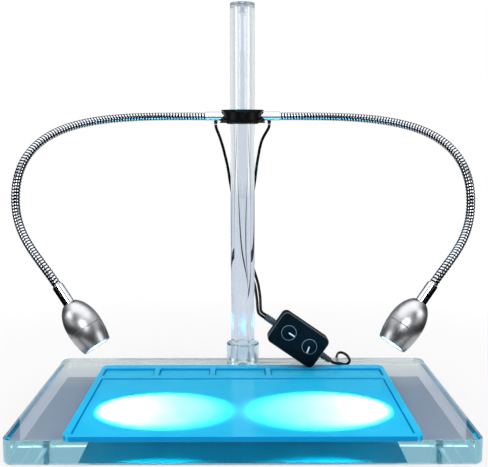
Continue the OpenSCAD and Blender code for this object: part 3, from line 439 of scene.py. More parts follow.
def grain(tree, size, detail):
    """Noise on the object's own coordinates, in grains of about the size in metres."""
    here = add_node(tree, "TexCoord").outputs["Object"]
    return add_node(tree, "TexNoise", {"Vector": here, "Scale": 1 / size, "Detail": detail})


def cast_acrylic(name, tint, density, polish, haze):
    # Cast and polished acrylic: clear through its faces, teal where the eye looks along its length,
    # with handling marks some 15 mm across that take the edge off its gloss.
    made, tree = blank_material(name)
    marks = grain(tree, 0.015, 4)
    dull = add_node(tree, "MapRange", {"Value": marks, "From Min": 0.5, "To Min": polish, "To Max": haze})
    sanded = add_node(tree, "Attribute", attribute_name="sanded").outputs["Fac"]
    matt = add_node(tree, "Math", {0: dull, 1: sanded}, operation="MAXIMUM")
    clear = add_node(tree, "BsdfPrincipled", {
        "Base Color": (1, 1, 1, 1), "Roughness": matt, "IOR": 1.49, "Transmission Weight": 1,
    })
    depth = add_node(tree, "VolumeAbsorption", {"Color": linear(tint), "Density": density})
    add_node(tree, "OutputMaterial", {"Surface": clear, "Volume": depth})
    return made


def silicone_rubber(name, low, high, gloss, glow, reach):
    # Moulded silicone rubber: saturated blue with a smooth skin, slightly see-through in depth,
    # with a fine grain. The real grain is about 0.2 mm and is drawn at 0.8 mm to show.
    made, tree = blank_material(name)
    cloud = grain(tree, 0.03, 3)
    shade = add_node(tree, "ValToRGB", {"Fac": cloud}, ((0, low), (1, high)))
    spark = grain(tree, 0.0008, 2)
    bump = add_node(tree, "Bump", {"Height": spark, "Strength": 0.04, "Distance": 0.0002})
    return with_surface(made, add_node(tree, "BsdfPrincipled", {
        "Base Color": shade, "Roughness": 0.16, "IOR": 1.41, "Specular IOR Level": gloss,
        "Subsurface Weight": glow, "Subsurface Radius": (0.6, 2.2, 3.2), "Subsurface Scale": reach,
        "Normal": bump,
    }))


def moulded_black(name, colour, roughness, gloss, grain_mm, depth):
    # Injection-moulded black plastic or rubber: deep black with a soft sheen that the mould's
    # spark texture breaks up. The grain is drawn about twice as coarse as it is, to show.
    made, tree = blank_material(name)
    spark = grain(tree, grain_mm * 0.001, 2)
    bump = add_node(tree, "Bump", {"Height": spark, "Strength": depth, "Distance": 0.0002})
    wear = grain(tree, 0.012, 4)
    sheen = add_node(tree, "MapRange", {
        "Value": wear, "To Min": roughness - 0.06, "To Max": roughness + 0.08,
    })
    return with_surface(made, add_node(tree, "BsdfPrincipled", {
        "Base Color": linear(colour), "Roughness": sheen, "IOR": 1.5, "Specular IOR Level": gloss,
        "Normal": bump,
    }))


def bright_metal(name, colour, roughness):
    # Plated or polished metal: a clear mirror, with faint handling marks of about 5 mm that dull it.
    made, tree = blank_material(name)
    marks = grain(tree, 0.005, 5)
    dull = add_node(tree, "MapRange", {"Value": marks, "To Min": roughness * 0.6, "To Max": roughness * 1.6})
    return with_surface(made, add_node(tree, "BsdfPrincipled", {
        "Base Color": linear(colour), "Metallic": 1, "Roughness": dull,
    }))


def wound_steel():
    # Chromed steel strip wound into a hose: bright crests, and painted shade that darkens the grooves between
    # the turns.
    made, tree = blank_material("chromed_wound_steel")
    depth = add_node(tree, "Attribute", attribute_name="groove").outputs["Fac"]
    # Painted shade: the colour goes nearly black with the groove's depth, where the crests shade the grooves
    shade = add_node(tree, "ValToRGB", {"Fac": depth}, ((0.1, "#B9BDC4"), (0.6, "#0B0C0F")))
    dull = add_node(tree, "MapRange", {"Value": depth, "To Min": 0.06, "To Max": 0.4})
    return with_surface(made, add_node(tree, "BsdfPrincipled", {
        "Base Color": shade, "Metallic": 1, "Roughness": dull,
    }))


def turned_aluminium():
    # Aluminium turned on a lathe and satin anodised: fine rings round the axis pull the light out into
    # streaks along it. The real rings are 0.1 mm apart and are drawn at 0.5 mm to show.
    made, tree = blank_material("turned_satin_aluminium")
    here = add_node(tree, "UVMap", uv_map="lathe")
    rings = add_node(tree, "Mapping", {"Vector": here, "Scale": (1, 200, 1)})
    noise = add_node(tree, "TexNoise", {"Vector": rings, "Scale": 1, "Detail": 3})
    shade = add_node(tree, "ValToRGB", {"Fac": noise}, ((0, "#A6A7AA"), (1, "#C0C1C4")))
    dull = add_node(tree, "MapRange", {"Value": noise, "To Min": 0.24, "To Max": 0.36})
    bump = add_node(tree, "Bump", {"Height": noise, "Strength": 0.08, "Distance": 0.0001})
    along = add_node(tree, "Tangent", direction_type="UV_MAP", uv_map="lathe")
    return with_surface(made, add_node(tree, "BsdfPrincipled", {
        "Base Color": shade, "Metallic": 1, "Roughness": dull, "Anisotropic": 0.8,
        "Normal": bump, "Tangent": along,
    }))


def lit_lens():
    # Frosted acrylic lens over a cool white diode: it glows, with a slightly uneven frosting of about 1 mm.
    made, tree = blank_material("frosted_lit_lens")
    frost = grain(tree, 0.001, 2)
    dull = add_node(tree, "MapRange", {"Value": frost, "To Min": 0.25, "To Max": 0.45})
    return with_surface(made, add_node(tree, "BsdfPrincipled", {
        "Base Color": linear("#F2F6FA"), "Roughness": dull, "IOR": 1.49,
        "Emission Color": linear("#F4FAFF"), "Emission Strength": 10,
    }))


def painted(name, colour, roughness, patch_mm):
    # Paint, resin or moulded plastic in one colour, a little uneven in patches of the given size.
    made, tree = blank_material(name)
    cloud = grain(tree, patch_mm * 0.001, 3)
    light = add_node(tree, "MapRange", {"Value": cloud, "To Min": 0.92, "To Max": 1.04})
    shade = add_node(tree, "HueSaturation", {"Color": linear(colour), "Value": light})
    return with_surface(made, add_node(tree, "BsdfPrincipled", {"Base Color": shade, "Roughness": roughness}))


def set_camera():
    """Camera at the photograph's viewpoint, from a fit to the plate's, mat's and column's edges."""
    sway = Matrix.Rotation(math.radians(CAMERA_SWAY), 4, "Z")
    turn = sway @ Matrix.Rotation(math.radians(90 - CAMERA_DIP), 4, "X") @ sway
    bpy.ops.object.camera_add()
    camera = bpy.context.active_object
    camera.matrix_world = Matrix.Translation(mm(*CAMERA_AT)) @ turn
    camera.data.sensor_fit = "HORIZONTAL"
    camera.data.sensor_width = 36
    camera.data.lens = camera.data.sensor_width * CAMERA_FOCUS_PX / PHOTO_WIDTH_PX
    camera.data.clip_start = 0.05
    camera.data.clip_end = 20
    bpy.context.scene.camera = camera


def smooth_line(name, points, resolution):
    """Curve of one open spline through points in mm."""
    data = bpy.data.curves.new(name, "CURVE")
    data.dimensions = "3D"
    spline = data.splines.new("BEZIER")
    spline.bezier_points.add(len(points) - 1)
    for knot, point in zip(spline.bezier_points, points):
        knot.co = mm(*point)
        knot.handle_left_type = knot.handle_right_type = "AUTO"
    data.resolution_u = resolution
    line = bpy.data.objects.new(name, data)
    bpy.context.scene.collection.objects.link(line)
    return line


def cord_tube(name, points, radius, resolution):
    """Round cord along the points, as a mesh."""
    line = smooth_line(name, points, resolution)
    line.data.bevel_depth = radius * 0.001
    line.data.bevel_resolution = 3
    line.data.use_fill_caps = True
    select_only(line)
    bpy.ops.object.convert(target="MESH")
    tube = bpy.context.active_object
    weld(tube, 1e-7)
    shade_smooth(tube, 50)
    return tube


def copy_of(piece, name):
    """Copy with its own mesh."""
    made = piece.copy()
    made.data = piece.data.copy()
    made.name = made.data.name = name
    bpy.context.scene.collection.objects.link(made)
    return made


def keep_between(piece, low, high):
    """Cuts the piece off below and above two heights in mm, and closes the cuts."""
    for height, keeps_upper in ((low, True), (high, False)):
        if height is None:
            continue
        open_edit(piece)
        bpy.ops.mesh.bisect(
            plane_co=mm(0, 0, height), plane_no=(0, 0, 1), use_fill=True,
            clear_inner=keeps_upper, clear_outer=not keeps_upper,
        )
        close_edit()


def leads(cover):
    """Two leads from the ferrules to the dimmer, each cut where the hub's turning part ends."""
    for side, route in LEADS.items():
        lower = cord_tube(f"{side}_lower_lead", route, LEAD_R, 8)
        upper = copy_of(lower, f"{side}_upper_lead")
        keep_between(upper, LEAD_CUT_Z, None)
        keep_between(lower, None, LEAD_CUT_Z)
        dress(upper, None, "black_rubber", cover, f"{side}_lead_upper")
        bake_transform(upper)
        dress(lower, None, "black_rubber", cover, f"{side}_lead_lower")
        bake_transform(lower)


def ease(t):
    """Smooth step from 0 to 1."""
    t = max(0, min(1, t))
    return t * t * (3 - 2 * t)


def coil_points():
    """Spirals in on the table, climbs half a turn, spirals out above and comes down to the plug."""
    middle = COIL_START + Vector((0, COIL_R, 0))
    points = []
    for i in range(2 * COIL_TURNS * COIL_RINGS + 1):
        turn = i / COIL_RINGS
        radius = COIL_R - COIL_PITCH * min(turn, 2 * COIL_TURNS - turn)
        angle = math.radians(-90 - 360 * turn)
        rise = COIL_LAYER * ease((turn - COIL_TURNS + 0.25) * 2)
        points.append(middle + Vector((radius * math.cos(angle), radius * math.sin(angle), rise)))
    last = points[-1]
    for i in range(1, TAIL_STEPS + 1):
        along = TAIL_L * i / TAIL_STEPS
        drop = (last.z - PLUG_Z) * ease((along - TAIL_LEVEL) / TAIL_SLOPE)
        points.append(last - Vector((along, 0, drop)))
    return points


def coil_tie(band):
    """Strap round one side of the coil."""
    low, high = (corner * 1000 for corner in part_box("coil_tie"))
    tie = block("coil_tie_strap", low, high)
    pick(tie, "FACE", lambda at, normal: abs(normal.y) > 0.5)
    bpy.ops.mesh.delete(type="FACE")
    close_edit()
    round_edges(tie, 2.5, 5, lambda a, b: abs(a.y - b.y) > 1)
    apply_modifier(tie, "SOLIDIFY", thickness=TIE_T * 0.001, offset=-1)
    soften(tie, 0.15, 2)
    return dress(tie, "stand", "black_rubber", band, "coil_tie")


def usb_plug(rubber, start):
    """Moulded plug body with a ribbed neck and finger grips, round the metal shell's root."""
    body_end = start.x - PLUG_NECK
    low = (body_end - PLUG_L, start.y - PLUG_W / 2, start.z - PLUG_H / 2)
    high = (body_end, start.y + PLUG_W / 2, start.z + PLUG_H / 2)
    body = block("plug_body", low, high)
    mouth_w, mouth_h = USB_W / 2 + FIT, USB_H / 2 + FIT
    mouth = block(
        "plug_mouth", (low[0] - 1, start.y - mouth_w, start.z - mouth_h),
        (low[0] + USB_IN + FIT, start.y + mouth_w, start.z + mouth_h),
    )
    grips = []
    for y in (low[1], high[1]):
        for i in range(GRIPS):
            x = body_end - GRIP_START - GRIP_STEP * i
            grip = (x - GRIP_W, y - GRIP_DEEP, low[2] - 1), (x, y + GRIP_DEEP, high[2] + 1)
            grips.append(block("plug_grip", *grip))
    cut(body, mouth, *grips)
    soften(body, 0.5)
    dress(body, "stand", "black_rubber", rubber, "usb_plug_body")
    radii = [LEAD_R + 0.7 + 0.9 * i / PLUG_RIBS for i in range(PLUG_RIBS)]
    outline = [(0, 0)] + rib_outline(0, PLUG_NECK / PLUG_RIBS, radii, 0.4) + [(0, PLUG_NECK)]
    neck = turned("plug_neck", outline, 40)
    place(neck, Matrix.Translation(mm(*start)) @ Matrix.Rotation(math.radians(-90), 4, "Y"))
    soften(neck, 0.12, 2)
    dress(neck, "stand", "black_rubber", rubber)
    return [body, neck]


def supply_cord(cover, rubber, band):
    """USB supply cord from the dimmer's outlet, with its unseen length coiled behind the plate."""
    points = [Vector(p) for p in CORD] + coil_points()
    cord = cord_tube("supply_cord", points, LEAD_R, 4)
    dress(cord, "stand", "black_rubber", cover, "power_cord", "power_cord_coil")
    pieces = usb_plug(rubber, points[-1]) + [coil_tie(band), frame["nodes"]["usb_plug_shell"]]


def base_plate(acrylic):
    """Clear base plate with rounded corners, which are sanded dull, and polished edges."""
    low = (-PLATE_W / 2, -PLATE_D / 2, 0)
    plate = block("acrylic_base_plate", low, (PLATE_W / 2, PLATE_D / 2, PLATE_T), PLATE_CORNER, 12)
    round_edges(plate, PLATE_FOOT, 1, lambda a, b: a.z < 0.1 and b.z < 0.1)
    soften(plate, PLATE_EDGE, 3, 30)
    sanded = plate.data.attributes.new("sanded", "FLOAT", "FACE")
    for face, dull in zip(plate.data.polygons, sanded.data):
        at = face.center * 1000
        round_x = abs(at.x) > PLATE_W / 2 - PLATE_CORNER
        round_y = abs(at.y) > PLATE_D / 2 - PLATE_CORNER
        dull.value = SANDED if round_x and round_y and abs(face.normal.z) < 0.95 else 0
    dress(plate, "stand", "clear_acrylic", acrylic, "base_plate")


def gutter(name, low, high, floor, corner):
    """Cutter for the fine gutter along the foot of a wall in the mat."""
    ring = block(name, (*low, floor - GUTTER_DEEP), (*high, floor + 0.5), corner, 5)
    inner_low = (low[0] + GUTTER_W, low[1] + GUTTER_W, floor - 2)
    inner_high = (high[0] - GUTTER_W, high[1] - GUTTER_W, floor + 2)
    cut(ring, block(f"{name}_core", inner_low, inner_high, max(corner - GUTTER_W, 0.5), 5))
    return ring


def work_mat(silicone, bonded_painted_glow, painted_shade):
    """Silicone mat with a sunken working area and four trays, bonded to the plate with no air under it."""
    half_w = MAT_W / 2
    low, high = (-half_w, MAT_FRONT, PLATE_T - MAT_BOND), (half_w, MAT_BACK, MAT_TOP)
    mat = block("silicone_work_mat", low, high, MAT_CORNER, 8)
    inner = half_w - MAT_BORDER
    sunken = [
        ("working_area", (-inner, MAT_FRONT + MAT_BORDER), (inner, WORK_BACK), MAT_SINK, MAT_CORNER / 2, 6),
    ]
    for i, (left, right) in enumerate(TRAY_SIDES):
        sunken.append((f"tray_{i}", (left, TRAY_FRONT), (right, TRAY_BACK), TRAY_SINK, MAT_CORNER / 4, 5))
    areas, gutters = [], []
    for name, low, high, sink, corner, segments in sunken:
        floor = MAT_TOP - sink
        areas.append(block(name, (*low, floor), (*high, MAT_TOP + 5), corner, segments))
        gutters.append(gutter(f"{name}_gutter", low, high, floor, corner))
    cut(mat, *areas, *gutters)
    soften(mat, 0.3)
    for material in (silicone, bonded_painted_glow, painted_shade):
        mat.data.materials.append(material)
    for face in mat.data.polygons:
        at = face.center * 1000
        floor = MAT_TOP - (TRAY_SINK if TRAY_FRONT < at.y < TRAY_BACK else MAT_SINK)
        inset = min(half_w - abs(at.x), at.y - MAT_FRONT, MAT_BACK - at.y)
        # The underside takes the paler copy of the silicone: painted light for the lamps' glow through the
        # mat
        if face.normal.z < -0.9:
            face.material_index = 1
        # Painted shade: the mat's outer sides and the gutters and walls below each floor take the darker copy
        # of the silicone
        elif inset < 0.1 or (inset > 1 and at.z < floor - 0.2):
            face.material_index = 2
    dress(mat, "stand", "blue_silicone", silicone, "work_mat")


def column(acrylic, collar_acrylic, cap_acrylic):
    """Clear tube, the disc that closes it and the ring round its foot, each a hair's breadth of air apart."""
    foot, top = PLATE_T + AIR_GAP, COLUMN_TOP
    tube = [(COLUMN_BORE_R, foot), (COLUMN_R, foot), (COLUMN_R, top), (COLUMN_BORE_R, top)]
    cap = [
        (0, top - CAP_SPIGOT_L), (CAP_SPIGOT_R, top - CAP_SPIGOT_L), (CAP_SPIGOT_R, top + AIR_GAP),
        (COLUMN_R, top + AIR_GAP), (COLUMN_R, top + CAP_T), (0, top + CAP_T),
    ]
    collar = [
        (COLLAR_IN_R, foot), (COLLAR_R, foot), (COLLAR_R, COLLAR_TOP - COLLAR_RIM),
        (COLLAR_R - COLLAR_RIM, COLLAR_TOP), (COLLAR_IN_R, COLLAR_TOP),
    ]
    pieces = (
        ("column", tube, acrylic),
        ("column_cap", cap, cap_acrylic),
        ("column_collar", collar, collar_acrylic),
    )
    for node, outline, material in pieces:
        piece = turned(f"acrylic_{node}", outline, FINE_STEPS)
        place(piece, Matrix.Translation(mm(0, COLUMN_Y, 0)))
        soften(piece, 0.4)
        dress(piece, "stand", "clear_acrylic", material, node)


def hub(plastic):
    """Black spool that carries both necks, with holes for its clamp screw and set screws."""
    top, bottom = HUB_Z + HUB_HALF, HUB_Z - HUB_HALF
    spool = turned("black_hub", [
        (HUB_BORE_R, bottom), (HUB_BOTTOM_R, bottom), (HUB_BOTTOM_R, bottom + HUB_RIM),
        (HUB_WAIST_R, bottom + HUB_RIM + HUB_SLOPE), (HUB_WAIST_R, top - HUB_RIM - HUB_SLOPE),
        (HUB_TOP_R, top - HUB_RIM), (HUB_TOP_R, top), (HUB_BORE_R, top),
    ], FINE_STEPS)
    place(spool, Matrix.Translation(mm(0, COLUMN_Y, 0)))
    clamp_hole = rod("clamp_hole", CLAMP_HOLE_R, (0, COLUMN_Y + 10, HUB_Z), (0, COLUMN_Y + 40, HUB_Z))
    set_holes = [
        rod("set_hole", SET_SCREW_HOLE_R, (x, COLUMN_Y, bottom - 2), (x, COLUMN_Y, HUB_Z - FERRULE_R), 24)
        for x in (-SET_SCREW_X, SET_SCREW_X)
    ]
    cut(spool, clamp_hole, *set_holes)
    soften(spool, 0.35, 3, 30)
    dress(spool, "hub", "black_hub_plastic", plastic, "hub_body")


def neck_knots(arm):
    """Places and handles of the neck's centreline, with its straight seats in both ferrules."""
    start = Vector((arm["side"] * FERRULE_OUT, COLUMN_Y, HUB_Z))
    out = Vector((arm["side"], 0, 0))
    widest, end, aim = arm["widest"], arm["end"], arm["aim"]
    third = NECK_SEAT / 3
    return [
        (start - out * NECK_SEAT, start - out * (NECK_SEAT + third), start - out * (NECK_SEAT - third)),
        (start, start - out * third, start + out * PULLS[0]),
        (widest, widest - WIDEST_WAY * PULLS[1], widest + WIDEST_WAY * PULLS[2]),
        (end, end - aim * PULLS[3], end + aim * third),
        (end + aim * NECK_SEAT, end + aim * (NECK_SEAT - third), end + aim * (NECK_SEAT + third)),
    ]


def neck_line(name, arm):
    """The neck's centreline as a curve."""
    knots = neck_knots(arm)
    line = smooth_line(name, [middle for middle, left, right in knots], 64)
    for knot, (middle, left, right) in zip(line.data.splines[0].bezier_points, knots):
        knot.handle_left_type = knot.handle_right_type = "FREE"
        knot.co, knot.handle_left, knot.handle_right = mm(*middle), mm(*left), mm(*right)
    return line


def neck_points(arm):
    """Points along the centreline, and the distance of each from the neck's start, in mm."""
    knots = neck_knots(arm)
    points = []
    for (a, _, b), (d, c, _) in zip(knots, knots[1:]):
        for i in range(LINE_STEPS):
            t = i / LINE_STEPS
            points.append(a * (1 - t) ** 3 + b * 3 * t * (1 - t) ** 2 + c * 3 * t * t * (1 - t) + d * t ** 3)
    points.append(knots[-1][0])
    distances = [0]
    for here, there in zip(points, points[1:]):
        distances.append(distances[-1] + (there - here).length)
    return points, distances


def wound_tube(length):
    """Straight wound neck along Z: one turn of the strip's section, screwed up the whole length."""
    rise = NECK_R - NECK_GROOVE_R
    points = [mm(NECK_GROOVE_R + rise * share, 0, NECK_PITCH * (t - 1)) for t, share in STRIP_SECTION]
    tube = strand("straight_neck", points)
    close_edit()
    apply_modifier(
        tube, "SCREW", axis="Z", angle=math.tau, screw_offset=NECK_PITCH * 0.001,
        iterations=math.ceil(length / NECK_PITCH) + 1, steps=24, render_steps=24, use_smooth_shade=True,
    )
    weld(tube, 2e-6)
    return tube


def mark_grooves(piece):
    """Writes how deep each point lies in the winding, from 0 on a crest to 1 in a groove."""
    depths = piece.data.attributes.new("groove", "FLOAT", "POINT")
    for vertex, depth in zip(piece.data.vertices, depths.data):
        radius = vertex.co.xy.length * 1000
        depth.value = min(1, max(0, (NECK_R - radius) / (NECK_R - NECK_GROOVE_R)))


def neck(name, arm, straight, steel):
    """Wound neck, cut in the middle of each span and bent along its line; the end pieces ride on the hub and
    the head.
    """
    line = neck_line(f"{name}_neck_line", arm)
    points, distances = neck_points(arm)
    length = distances[-1] - 2 * NECK_SEAT
    span = length / NECK_SPANS
    ends = [0] + [NECK_SEAT + span * (k + 0.5) for k in range(NECK_SPANS)] + [distances[-1]]
    bodies = ["hub"] + [f"{name}_arm_{k}" for k in range(2, NECK_SPANS)] + [f"{name}_head"]

    for k, (low, high) in enumerate(zip(ends, ends[1:])):
        piece = copy_of(straight, f"{name}_neck_{k}")
        keep_between(piece, low, high)
        mark_grooves(piece)
        apply_modifier(piece, "CURVE", object=line, deform_axis="POS_Z")
        shade_smooth(piece, 22)
        if 0 < k < NECK_SPANS:
            dress(piece, None, "chrome", steel, f"{name}_neck_{k}")
            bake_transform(piece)
        else:
            body, node = (bodies[-1], NECK_SPANS) if k else ("hub", 1)
            dress(piece, body, "chrome", steel, f"{name}_neck_{node}")
    bpy.data.objects.remove(line)


def ferrules(name, arm, head_place, chrome):
    """Chrome sleeves at both ends of a neck."""
    seat = FERRULE_OUT - NECK_SEAT - FIT
    base = turned(f"{name}_base_sleeve", [
        (FERRULE_BORE_R, FERRULE_IN), (FERRULE_R, FERRULE_IN), (FERRULE_R, FERRULE_OUT),
        (FERRULE_SEAT_R, FERRULE_OUT), (FERRULE_SEAT_R, seat), (FERRULE_BORE_R, seat),
    ], 64)
    turn = Matrix.Rotation(math.radians(90) * arm["side"], 4, "Y")
    place(base, Matrix.Translation(mm(0, COLUMN_Y, HUB_Z)) @ turn)
    soften(base, 0.5)
    dress(base, "hub", "chrome", chrome, f"{name}_base_ferrule")
    tail = HEAD_FERRULE_L + HEAD_FERRULE_PLUG
    seat = NECK_SEAT + FIT
    head = turned(f"{name}_head_sleeve", [
        (FERRULE_SEAT_R, 0), (HEAD_FERRULE_R, 0), (HEAD_FERRULE_R, tail), (FERRULE_BORE_R, tail),
        (FERRULE_BORE_R, seat), (FERRULE_SEAT_R, seat),
    ], 64)
    place(head, head_place)
    soften(head, 0.5)
    dress(head, f"{name}_head", "chrome", chrome, f"{name}_head_ferrule")


def grommet(name, arm, rubber):
    """Slim rubber sleeve round the lead where it leaves the base ferrule."""
    low, high = (corner * 1000 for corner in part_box(f"{name}_lead_grommet"))
    bottom, mouth, top = low.z + 0.2, HUB_Z - FERRULE_R, high.z
    steps = [
        (-0.1, bottom), (0.2, bottom), (0.35, mouth - 1), (0.75, mouth - 0.5), (0.75, mouth + 0.2),
        (0.4, mouth + 0.4), (0.4, top), (-0.1, top),
    ]
    sleeve = turned(f"{name}_lead_sleeve", [(LEAD_R + over, z) for over, z in steps], 40)
    place(sleeve, Matrix.Translation(mm(arm["side"] * LEAD_EXIT_X, COLUMN_Y, 0)))
    soften(sleeve, 0.08, 2)
    dress(sleeve, "hub", "black_rubber", rubber, f"{name}_lead_grommet")


def egg_r(z):
    """Outside radius of a head at a distance along its axis."""
    if z < HEAD_BULGE:
        pull = (HEAD_BULGE - HEAD_TAIL) / math.sqrt(1 - (HEAD_TAIL_R / HEAD_R) ** 2)
    else:
        pull = (HEAD_FRONT - HEAD_BULGE) / math.sqrt(1 - (HEAD_FRONT_R / HEAD_R) ** 2)
    return HEAD_R * math.sqrt(1 - ((z - HEAD_BULGE) / pull) ** 2)


def egg_line(start, end, steps):
    """Outline points on the head's egg."""
    heights = [start + (end - start) * i / steps for i in range(steps + 1)]
    return [(egg_r(z), z) for z in heights]


def head_shell_outline(thread_r, groove_r):
    """Outline of a head's rear part: its egg, the thread's seat, the hollow and the ferrule's bore."""
    bore_r = HEAD_FERRULE_R + FIT
    cavity_r = egg_r(SINK_Z) - HEAD_WALL
    plug = HEAD_TAIL + HEAD_FERRULE_PLUG + FIT
    rest = HEAD_SEAM - THREAD_L - FIT
    seam = HEAD_SEAM - 0.02
    return [(bore_r, HEAD_TAIL)] + egg_line(HEAD_TAIL, HEAD_SEAM - SEAM_GROOVE, 28) + [
        (groove_r, seam), (thread_r, seam), (thread_r, rest), (cavity_r, rest), (cavity_r, SINK_Z),
        (WIRE_R, SINK_Z), (WIRE_R, plug), (bore_r, plug),
    ]


def head_bezel_outline(thread_r, groove_r, lens_r, lip_r):
    """Outline of a head's front part: its threaded spigot, its egg, the lip and the lens's seat."""
    spigot_r = thread_r - FIT
    inside_r = spigot_r - 1.2
    seat_r = lens_r + FIT
    back = HEAD_SEAM - THREAD_L
    return [
        (inside_r, back), (spigot_r, back), (spigot_r, HEAD_SEAM), (groove_r, HEAD_SEAM),
    ] + egg_line(HEAD_SEAM + SEAM_GROOVE, HEAD_FRONT - LIP_EDGE, 16) + [
        (egg_r(HEAD_FRONT) - LIP_EDGE, HEAD_FRONT), (lip_r + LIP_EDGE, HEAD_FRONT),
        (lip_r, HEAD_FRONT - LIP_EDGE), (lip_r, LENS_FRONT), (seat_r, LENS_FRONT), (seat_r, LENS_BACK - 1),
        (inside_r, LENS_BACK - 2.5),
    ]


def lamp_head(name, head_place, aluminium, black, glow):
    """Satin egg in two parts with a fine groove between them, a black lip and a lit lens."""
    thread_r = egg_r(HEAD_SEAM) - HEAD_WALL
    groove_r = egg_r(HEAD_SEAM) - SEAM_GROOVE
    lens_r = egg_r(LENS_FRONT) - HEAD_WALL - FIT
    lip_r = lens_r - LENS_LIP
    shell = turned(f"{name}_head_rear", head_shell_outline(thread_r, groove_r), FINE_STEPS)
    bezel_outline = head_bezel_outline(thread_r, groove_r, lens_r, lip_r)
    bezel = turned(f"{name}_head_bezel_ring", bezel_outline, FINE_STEPS)
    lip_z, lip_out_r = HEAD_FRONT - LIP_EDGE + 0.01, HEAD_FRONT_R - LIP_EDGE
    two_tone(bezel, aluminium, black, lambda at, normal: at.z > lip_z and at.xy.length < lip_out_r)
    curve = [(lip_r * share, LENS_FRONT - depth) for share, depth in LENS_CURVE]
    back = [(0, LENS_BACK), (lens_r, LENS_BACK), (lens_r, LENS_FRONT - 0.4)]
    lens = turned(f"{name}_lamp_lens", back + curve, 96)
    pieces = (
        (shell, "satin_aluminium", aluminium, f"{name}_head_shell"),
        (bezel, "satin_aluminium", aluminium, f"{name}_head_bezel"),
        (lens, "lens_plastic", glow, f"{name}_lens"),
    )
    for piece, slot, material, node in pieces:
        wrap_uv(piece)
        place(piece, head_place)
        shade_smooth(piece, 30)
        dress(piece, f"{name}_head", slot, material, node)


def case_half(name, node, front, plastic, worn_and_highlit):
    """Half of the dimmer's case: an open shell with a rounded face, edges painted pale for rubbed wear and
    highlight, and its holes.
    """
    half = block(name, (-CASE_W / 2, -CASE_H / 2, 0), (CASE_W / 2, CASE_H / 2, CASE_HALF), CASE_CORNER, 10)
    round_edges(half, CASE_EDGE, 5, lambda a, b: a.z > CASE_HALF - 0.1 and b.z > CASE_HALF - 0.1)
    half_w, half_h, floor = CASE_W / 2 - CASE_WALL, CASE_H / 2 - CASE_WALL, CASE_HALF - CASE_WALL
    low, high = (-half_w, -half_h, -2), (half_w, half_h, floor)
    hollow = block("case_hollow", low, high, CASE_CORNER - CASE_WALL, 10)
    above = CASE_HALF + 3
    if front:
        spots = [(x * KNOB_X, KNOB_Y) for x in (-1, 1)]
        holes = [rod("shaft_hole", SHAFT_R + 0.3, (*spot, 0), (*spot, above)) for spot in spots]
    else:
        spots = [(x * SCREW_X, y * SCREW_Y) for x in (-1, 1) for y in (-1, 1)]
        holes = [rod("screw_hole", SCREW_HOLE_R, (*spot, floor - 0.5), (*spot, above), 24) for spot in spots]
    boots = rod("boot_hole", BOOT_NECK_R + FIT, (-CASE_W, 0, 0), (CASE_W, 0, 0), 40)
    cut(half, hollow, boots, *holes)
    soften(half, 0.25, 2, 50)

    # Pale band on the rounded edge: partly rubbed wear, partly painted highlight
    def on_worn_highlit_edge(at, normal):
        on_round = CASE_HALF - CASE_EDGE < at.z < CASE_HALF - 0.05 and 0.55 < normal.z < 0.85
        return on_round and (abs(at.x) > CASE_W / 2 - CASE_CORNER or abs(at.y) > CASE_H / 2 - CASE_EDGE)

    two_tone(half, plastic, worn_and_highlit, on_worn_highlit_edge)
    turn = Matrix.Identity(4) if front else Matrix.Rotation(math.pi, 4, "X")
    place(half, DIMMER @ turn)
    dress(half, "stand", "black_case_plastic", plastic, node)


def knob(name, plastic, worn_and_highlit, paint):
    """Flat knob with a raised rim, a dished face and a white pointer."""
    side = ARMS[name]["side"]
    base, top = KNOB_BASE, KNOB_BASE + KNOB_H
    shaft_end = -0.5
    rim = [(KNOB_R - inset, top - drop) for inset, drop in KNOB_RIM]
    dial = turned(f"{name}_dial", [
        (0, shaft_end), (SHAFT_R, shaft_end), (SHAFT_R, base), (KNOB_R - 0.3, base), (KNOB_R, base + 0.3),
    ] + rim + [(0, rim[-1][1])], 96)
    low, high = (0, -POINTER_W / 2, top - 0.7), (POINTER_L, POINTER_W / 2, top + POINTER_RISE)
    pointer = block(f"{name}_dial_pointer", low, high, POINTER_W * 0.4, 4)
    soften(pointer, 0.12, 2)

    # Pale band on the rim: partly rubbed wear, partly painted highlight
    def on_worn_highlit_rim(at, normal):
        return top - 0.3 < at.z < top - 0.05 and KNOB_R - 0.8 < at.xy.length

    two_tone(dial, plastic, worn_and_highlit, on_worn_highlit_rim)
    at_knob = DIMMER @ Matrix.Translation(mm(side * KNOB_X, KNOB_Y, 0))
    place(dial, at_knob)
    shade_smooth(dial, 35)
    place(pointer, at_knob @ Matrix.Rotation(math.radians(POINTER_TURNS[name]), 4, "Z"))
    dress(dial, f"{name}_knob", "knob_plastic", plastic, f"{name}_knob")
    dress(pointer, f"{name}_knob", "knob_plastic", paint)


